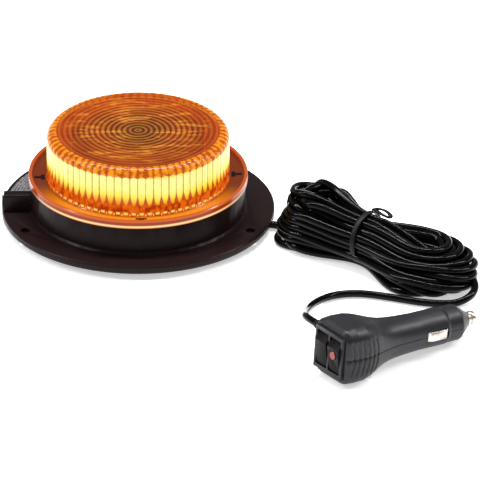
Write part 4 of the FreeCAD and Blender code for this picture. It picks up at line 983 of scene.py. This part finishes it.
def lens_material():
    """Amber plastic: painted glow by height, radius, flute and side; a clearer rippled top."""
    material, tree, shader = new_material("amber_lens")
    height, radius, angle = polar_sockets(tree)
    lobe = math_node(tree, "ABSOLUTE", math_node(tree, "SINE", math_node(
        tree, "MULTIPLY", angle, FLUTES / 2)))
    between = math_node(tree, "SUBTRACT", 1.0, lobe)
    # Painted light: the teeth, the channel floor and the rim's pale band show only on the near side, towards
    # -Y.
    toward = math_node(tree, "SINE", math_node(tree, "MULTIPLY", angle, -1.0))
    painted_lit_side = ramp(tree, toward, 0.15, 0.8)
    ripple = math_node(tree, "SUBTRACT", 1.0, math_node(tree, "ABSOLUTE", math_node(
        tree, "SINE", math_node(tree, "MULTIPLY", radius, math.pi / RIPPLE_PITCH))))
    on_top = math_node(tree, "MULTIPLY", math_node(tree, "GREATER_THAN", height, 51.0),
                       math_node(tree, "SUBTRACT", 1.0, ramp(tree, radius, 44.4, 45.6)))
    glow = wall_glow(tree, height, lobe, between, painted_lit_side)
    glow = ring_glow(tree, height, radius, painted_lit_side, glow)
    top = top_colour(tree, radius, ripple)
    dim = mix_colour(tree, 0.72, top, (0.0, 0.0, 0.0))
    glow = mix_colour(tree, on_top, glow, dim)
    body = mix_colour(tree, on_top, (0.07, 0.010, 0.001), mix_colour(tree, 0.25, top, (0.0, 0.0, 0.0)))
    tree.links.new(body, shader.inputs["Base Color"])
    # The painted glow is the lens's emission, so the lens shines by itself.
    tree.links.new(glow, shader.inputs["Emission Color"])
    shader.inputs["Emission Strength"].default_value = 0.97
    mottle = object_noise(tree, 260.0, 3.0)
    tree.links.new(math_node(tree, "MULTIPLY_ADD", mottle, 0.12, 0.12), shader.inputs["Roughness"])
    shader.inputs["IOR"].default_value = 1.3
    add_bump(tree, shader, mottle, 0.00005, 0.5)
    clear = add_node(tree, "ShaderNodeBsdfTransparent", {"Color": (0.95, 0.30, 0.03, 1.0)})
    blend = add_node(tree, "ShaderNodeMixShader")
    tree.links.new(math_node(tree, "MULTIPLY", on_top, 0.4), blend.inputs[0])
    tree.links.new(shader.outputs[0], blend.inputs[1])
    tree.links.new(clear.outputs[0], blend.inputs[2])
    tree.links.new(blend.outputs[0], tree.nodes["Material Output"].inputs["Surface"])
    return material


amber_lens = lens_material()
lens_mesh.materials.append(amber_lens)
lens_settings = {"Flute count": float(FLUTES), "Material": amber_lens}
dome = with_group("amber_dome", lens_mesh, ripples_and_flutes, lens_settings)
add_piece("amber_dome", dome, "beacon", "lens_dome", slot="amber")
print("lens:", len(dome.polygons), "faces")

# %% [markdown]
# ## The plug's case
# Two moulded halves meet along a seam. Each half is a grid of rounded sections that swell from the
# thick grip to the round barrel; the sides carry a row of curved finger grooves. Outer and inner
# skins are joined at the seam and at both ends, so that each half is a closed solid with a real wall.

# %% Sections of the case
# distance from the switch face, half width, half height, corner radius
GRIP = np.array([(0, 13.7, 14.0, 5.5), (0.5, 14.5, 14.8, 6.1), (1.3, 15.2, 15.5, 6.6),
                 (2.4, 15.6, 15.9, 7.0), (7, 16.2, 16.4, 8.0), (14, 16.3, 16.5, 9.0),
                 (18, 15.7, 16.0, 9.7), (22, 14.7, 15.1, 10.5),
                 (26, 13.5, 13.9, 10.9), (30, 12.5, 12.9, 11.0), (34, 11.7, 12.0, 10.8),
                 (39, 11.0, 11.3, 10.2), (46, 10.65, 10.75, 10.1), (54, 10.48, 10.48, 10.3),
                 (56, 10.4, 10.4, 10.3), (73.6, 10.4, 10.4, 10.3), (74, 10.0, 10.0, 9.9),
                 (83, 10.0, 10.0, 9.9)])
HOLLOW = np.array([(0, 11.2, 11.2, 0.6), (2.4, 11.2, 11.2, 0.6), (2.5, 13.4, 13.7, 5.0),
                   (7, 14.2, 14.4, 6.0), (14, 14.3, 14.5, 7.0), (22, 12.7, 13.1, 8.5), (30, 10.5, 10.9, 9.0),
                   (39, 9.0, 9.3, 8.2), (54.5, 8.3, 8.3, 8.2), (83, 8.3, 8.3, 8.2)])


def section(table, along):
    """Half width, half height and corner radius at a distance from the switch face."""
    return [np.interp(along, table[:, 0], table[:, column]) for column in (1, 2, 3)]


def half_loop(width, tall, corner):
    """Half of a rounded rectangle, from +Y over +Z to -Y, as (y, z) rows."""
    flat_wide, flat_tall = width - corner, tall - corner
    side = [(width, 0.0), (width, min(0.35, flat_tall * 0.3 + 0.05))]
    side += [(width, flat_tall * part) for part in (0.35, 0.5, 0.65, 0.8, 1.0) if flat_tall * part > 0.36]
    while len(side) < 7:
        side.append((width, max(flat_tall, 0.36)))
    arc = [(flat_wide + corner * math.cos(angle), flat_tall + corner * math.sin(angle))
           for angle in (math.pi / 2 * step / 14 for step in range(1, 15))]
    lid = [(flat_wide * (1 - step / 6), tall) for step in range(1, 7)]
    first = side + arc + lid
    return np.array(first + [(-across, up) for across, up in reversed(first[:-1])])


def groove_depth(along, up):
    """How deep the finger grooves are at a place on the side of the grip."""
    fade = ease((10.2 - abs(up)) / 1.2)
    bow = along - 2.2 * (1 - (up / 10.0) ** 2)
    phase = (bow - 2.6) / 3.3
    if phase < -0.4 or phase > 5.4:
        return 0.0
    return 0.75 * fade * max(0.0, math.cos(math.tau * phase)) ** 1.5


def case_half(name, upper):
    """One half of the case as a closed shell."""
    steps = [np.arange(0, 26, 0.4), np.arange(26, 83.1, 1.5),
             [0.25, 2.45, 2.55, 56, 73.6, 74, 82.7, 83]]
    along_all = sorted(set(np.round(np.concatenate(steps), 3)))
    outer, inner = [], []
    for along in along_all:
        sizes = section(GRIP, along)
        loop = half_loop(*sizes)
        for index, (across, up) in enumerate(loop):
            if abs(across) > sizes[0] * 0.80:
                loop[index, 0] -= math.copysign(groove_depth(along, up), across)
        for end in (0, -1):
            loop[end, 0] *= 1 - 0.28 / sizes[0]
        outer.append(loop)
        inner.append(half_loop(*section(HOLLOW, along)))
    shape = bmesh.new()
    flip = 1.0 if upper else -1.0
    skins = [[[shape.verts.new((along, across, flip * (up + 0.02))) for across, up in loop]
              for along, loop in zip(along_all, skin)] for skin in (outer, inner)]
    last = len(skins[0][0]) - 1
    for row in range(len(along_all) - 1):
        for skin in skins:
            for spot in range(last):
                shape.faces.new((skin[row][spot], skin[row + 1][spot], skin[row + 1][spot + 1],
                                 skin[row][spot + 1])).smooth = True
        for spot in (0, last):
            shape.faces.new((skins[0][row][spot], skins[0][row + 1][spot], skins[1][row + 1][spot],
                             skins[1][row][spot]))
    for row in (0, len(along_all) - 1):
        for spot in range(last):
            shape.faces.new((skins[0][row][spot], skins[0][row][spot + 1], skins[1][row][spot + 1],
                             skins[1][row][spot]))
    bmesh.ops.recalc_face_normals(shape, faces=shape.faces)
    shape.transform(PLUG)
    shape.transform(Matrix.Scale(MM, 4))
    mesh = mesh_from(name, shape, 50)
    mesh.materials.append(plug_black)
    return mesh


print(len(GRIP), "sections outside,", len(HOLLOW), "inside")

# %% [markdown]
# The side contacts look out through a window on each side, right on the seam, so both halves lose
# half of it. The upper half has a round hole for the strain relief, and the lower half has two
# recesses for the screws. Boolean cuts on closed meshes are the plain way to make such openings.


# %% Cut the windows and the cord's entry
WINDOW_START, WINDOW_END, WINDOW_HALF = 58.4, 72.8, 3.0


def side_place(out):
    """The cord's entry axis: out of the head's side, starting at a distance from the middle."""
    return (PLUG @ Matrix.Translation((ENTRY_ALONG, out, ENTRY_UP))
            @ Matrix.Rotation(-math.pi / 2, 4, "X"))


def case_piece(name, upper):
    """A case half with its contact windows and its entry hole or screw recesses."""
    cutters = [block("window", (WINDOW_START, side - 3.5, -WINDOW_HALF),
                     (WINDOW_END, side + 3.5, WINDOW_HALF), PLUG) for side in (-10.5, 10.5)]
    if upper:
        entry = [(0.0, 0.0), (3.1, 0.0), (3.1, 8.0), (0.0, 8.0)]
        cutters.append(revolve("entry", entry, 48, side_place(12.0)))
    else:
        for side in (-1, 1):
            recess = [(0.0, -18.0), (2.3, -18.0), (2.3, -13.3), (0.0, -13.3)]
            cutters.append(revolve("recess", recess, 40, PLUG @ Matrix.Translation((19, 10 * side, 0))))
    return cut(case_half(name, upper), cutters)


add_piece("case_upper", case_piece("case_upper", True), "beacon", "plug_shell_upper", slot="plug_case")
add_piece("case_lower", case_piece("case_lower", False), "beacon", "plug_shell_lower", slot="plug_case")
print("case halves made")

# %% [markdown]
# ## Switches, contacts and nose
# The bezel, rockers, side contacts and nose keep their engineered shapes with softened edges. The
# small red lamp in the power rocker carries the usual power mark, drawn on its own flat face.

# %% Rockers, bezel and metal parts
COPIES = [
    ("bezel_frame", "switch_bezel", bezel_black, 0.25, "beacon", "bezel"),
    ("power_paddle", "power_rocker", rocker_black, 0.45, "power_rocker", "rocker"),
    ("mode_paddle", "mode_rocker", rocker_black, 0.45, "mode_rocker", "rocker"),
    ("near_contact", "side_contact_near", nickel, 0.3, "side_contact_near", "nickel"),
    ("far_contact", "side_contact_far", nickel, 0.3, "side_contact_far", "nickel"),
    ("tip_pin", "tip_contact", nickel, 0.2, "tip_contact", "nickel"),
    ("nose_sleeve", "nose_ring", plug_black, 0.25, "beacon", "plug_case"),
    ("case_screws", "shell_screws", zinc, 0.2, "beacon", "screws"),
]
for name, node, finish, width, body, slot in COPIES:
    add_piece(name, softened(name, node, finish, width), body, node, slot=slot)
print(len(COPIES), "softened copies")

# %% [markdown]
# The power mark is a ring with a gap at the top and a bar through the gap. It is drawn with plain
# distances in the material, on a flat map whose unit is a millimetre, so it stays sharp at any size
# and turns with the rocker.


# %% The red power lamp
def red_material():
    """Deep red window with a bright power mark read from the piece's own map."""
    material, tree, shader = new_material("red_window")
    spot = add_node(tree, "ShaderNodeUVMap", uv_map="face_map")
    split = add_node(tree, "ShaderNodeSeparateXYZ")
    tree.links.new(spot.outputs[0], split.inputs[0])
    across, up, _ = split.outputs
    radius = flat_distance(tree, across, up)
    ring = math_node(tree, "LESS_THAN", math_node(tree, "ABSOLUTE", math_node(
        tree, "SUBTRACT", radius, 1.3)), 0.27)
    narrow = math_node(tree, "LESS_THAN", math_node(tree, "ABSOLUTE", across), 0.3)
    opening = math_node(tree, "MULTIPLY", math_node(tree, "LESS_THAN", math_node(
        tree, "ABSOLUTE", across), 0.65), math_node(tree, "GREATER_THAN", up, 0.4))
    bar = math_node(tree, "MULTIPLY", narrow, math_node(tree, "MULTIPLY", math_node(
        tree, "GREATER_THAN", up, 0.1), math_node(tree, "LESS_THAN", up, 1.75)))
    mark = math_node(tree, "MAXIMUM", math_node(tree, "MULTIPLY", ring, math_node(
        tree, "SUBTRACT", 1.0, opening)), bar)
    cloud = object_noise(tree, 900.0)
    tree.links.new(mix_colour(tree, cloud, (0.10, 0.004, 0.004), (0.16, 0.006, 0.006)),
                   shader.inputs["Base Color"])
    glow = mix_colour(tree, mark, (0.05, 0.001, 0.001), (0.62, 0.012, 0.014))
    tree.links.new(glow, shader.inputs["Emission Color"])
    shader.inputs["Emission Strength"].default_value = 0.9
    shader.inputs["Roughness"].default_value = 0.2
    add_bump(tree, shader, cloud, 0.00002, 0.3)
    return material


def power_window():
    """A short red disc whose face carries a flat map in millimetres from its centre."""
    profile = [(0.0, 1.4), (2.4, 1.4), (2.4, 3.15), (2.25, 3.3), (0.0, 3.3)]
    mesh = revolve("power_window", profile, 48)
    layer = mesh.uv_layers.new(name="face_map")
    for loop in mesh.loops:
        spot = mesh.vertices[loop.vertex_index].co / MM
        layer.data[loop.index].uv = (spot.y, -spot.x)
    mesh.transform(Matrix.Scale(MM, 4) @ PLUG @ Matrix.Translation((0, -5.6, 0.6))
                   @ Matrix.Rotation(-math.pi / 2, 4, "Y") @ Matrix.Scale(1 / MM, 4))
    mesh.materials.append(red_material())
    return mesh


add_piece("power_window", power_window(), "power_rocker", "power_lens", slot="red_lens")
print("power lamp made")

# %% [markdown]
# ## Strain relief and tie
# The strain relief tapers from a collar in the case to the cord, with shallow rings that let it bend.
# The tie is a flat black strap round the middle of the hank, with its spare end twisted into a small
# loop on top.


# %% Strain relief
def relief_profile():
    """A tapered sleeve with four rings, as (radius, along)."""
    points = [(0.0, 0.0), (3.05, 0.0), (3.05, 2.5), (3.25, 2.7), (3.25, 4.1), (3.0, 4.4)]
    for ring in range(4):
        start = 4.9 + 1.25 * ring
        taper = 2.95 - 0.13 * ring
        points += [(taper - 0.32, start), (taper - 0.32, start + 0.35), (taper, start + 0.55),
                   (taper - 0.05, start + 1.1)]
    return points + [(2.4, 10.5), (0.0, 10.5)]


relief = revolve("cord_relief", relief_profile(), 48, side_place(13.35))
relief.materials.append(rubber_black)
add_piece("cord_relief", relief, "beacon", "plug_strain_relief", slot="rubber")
print("strain relief made")

# %% [markdown]
# A strap is a flat oval section carried along a line, with one side always facing away from the
# bundle. The same function makes the closed band round the hank and the loose end, which follows a
# smooth line through a few points.


# %% The tie
def strap(name, centres, outward, half_wide, half_thick, closed):
    """A flat strap swept along centres; outward rows point away from the strap's face."""
    count, around = len(centres), 14
    ahead = np.roll(centres, -1, 0) - np.roll(centres, 1, 0)
    if not closed:
        ahead[0], ahead[-1] = centres[1] - centres[0], centres[-1] - centres[-2]
    ahead /= np.linalg.norm(ahead, axis=1)[:, None]
    side = np.cross(ahead, outward)
    side /= np.linalg.norm(side, axis=1)[:, None]
    lift = np.cross(side, ahead)
    shape = bmesh.new()
    rings = []
    for index in range(count):
        ring = []
        for step in range(around):
            angle = math.tau * step / around
            wide = math.copysign(abs(math.cos(angle)) ** 0.5, math.cos(angle)) * half_wide
            thick = math.copysign(abs(math.sin(angle)) ** 0.7, math.sin(angle)) * half_thick
            spot = centres[index] + side[index] * wide + lift[index] * thick
            ring.append(shape.verts.new(spot * MM))
        rings.append(ring)
    pairs = list(zip(rings, rings[1:])) + ([(rings[-1], rings[0])] if closed else [])
    for here, there in pairs:
        for step in range(around):
            after = (step + 1) % around
            shape.faces.new((here[step], here[after], there[after], there[step])).smooth = True
    if not closed:
        shape.faces.new(rings[0])
        shape.faces.new(rings[-1])
    bmesh.ops.recalc_face_normals(shape, faces=shape.faces)
    return mesh_from(name, shape)


def tie_band():
    """The strap round the hank, drawn a little unevenly."""
    middle_across, middle_up = 0.2, 15.0
    rows = []
    for step in range(96):
        angle = math.tau * step / 96
        rows.append((TIE_AT + 0.35 * math.sin(2 * angle), middle_across + 14.8 * math.cos(angle),
                     middle_up + 14.0 * math.sin(angle)))
    centres = in_hank(rows)
    outward = centres - in_hank([(TIE_AT, middle_across, middle_up)])
    return strap("tie_band", centres, outward, 1.5, 0.6, True)


def smooth_path(points, steps):
    """A smooth line through a few points."""
    points = np.array(points, dtype=float)
    padded = np.vstack([2 * points[0] - points[1], points, 2 * points[-1] - points[-2]])
    rows = []
    for index in range(1, len(padded) - 2):
        before, here, there, after = padded[index - 1:index + 3]
        for step in range(steps):
            share = step / steps
            rows.append(0.5 * (2 * here + (there - before) * share
                               + (2 * before - 5 * here + 4 * there - after) * share ** 2
                               + (3 * here - before - 3 * there + after) * share ** 3))
    rows.append(points[-1])
    return np.array(rows)


def tie_tail():
    """The spare end of the strap, bent into a small loop."""
    path = smooth_path([(4, 6.6, 28.8), (6.6, 8.0, 29.6), (10.5, 9.8, 28.6), (14.0, 9.4, 27.0),
                        (14.8, 7.2, 26.6), (11.5, 6.0, 27.8), (7.5, 6.3, 29.0), (5.0, 7.6, 29.2)], 8)
    centres = in_hank(path)
    return strap("tie_tail", centres, np.tile([0.0, 0.3, 1.0], (len(centres), 1)), 1.3, 0.6, False)


def joined(name, meshes):
    """Several meshes as one."""
    shape = bmesh.new()
    for mesh in meshes:
        shape.from_mesh(mesh)
    mesh = mesh_from(name, shape)
    mesh.materials.append(tie_black)
    return mesh


add_piece("hank_tie", joined("hank_tie", [tie_band(), tie_tail()]), "beacon", "cord_tie", slot="tie")
print("tie made")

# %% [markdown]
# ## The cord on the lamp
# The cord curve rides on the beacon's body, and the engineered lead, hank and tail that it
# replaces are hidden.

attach(cord, "beacon")
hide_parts("cord_lead", "cord_hank", "cord_tail")
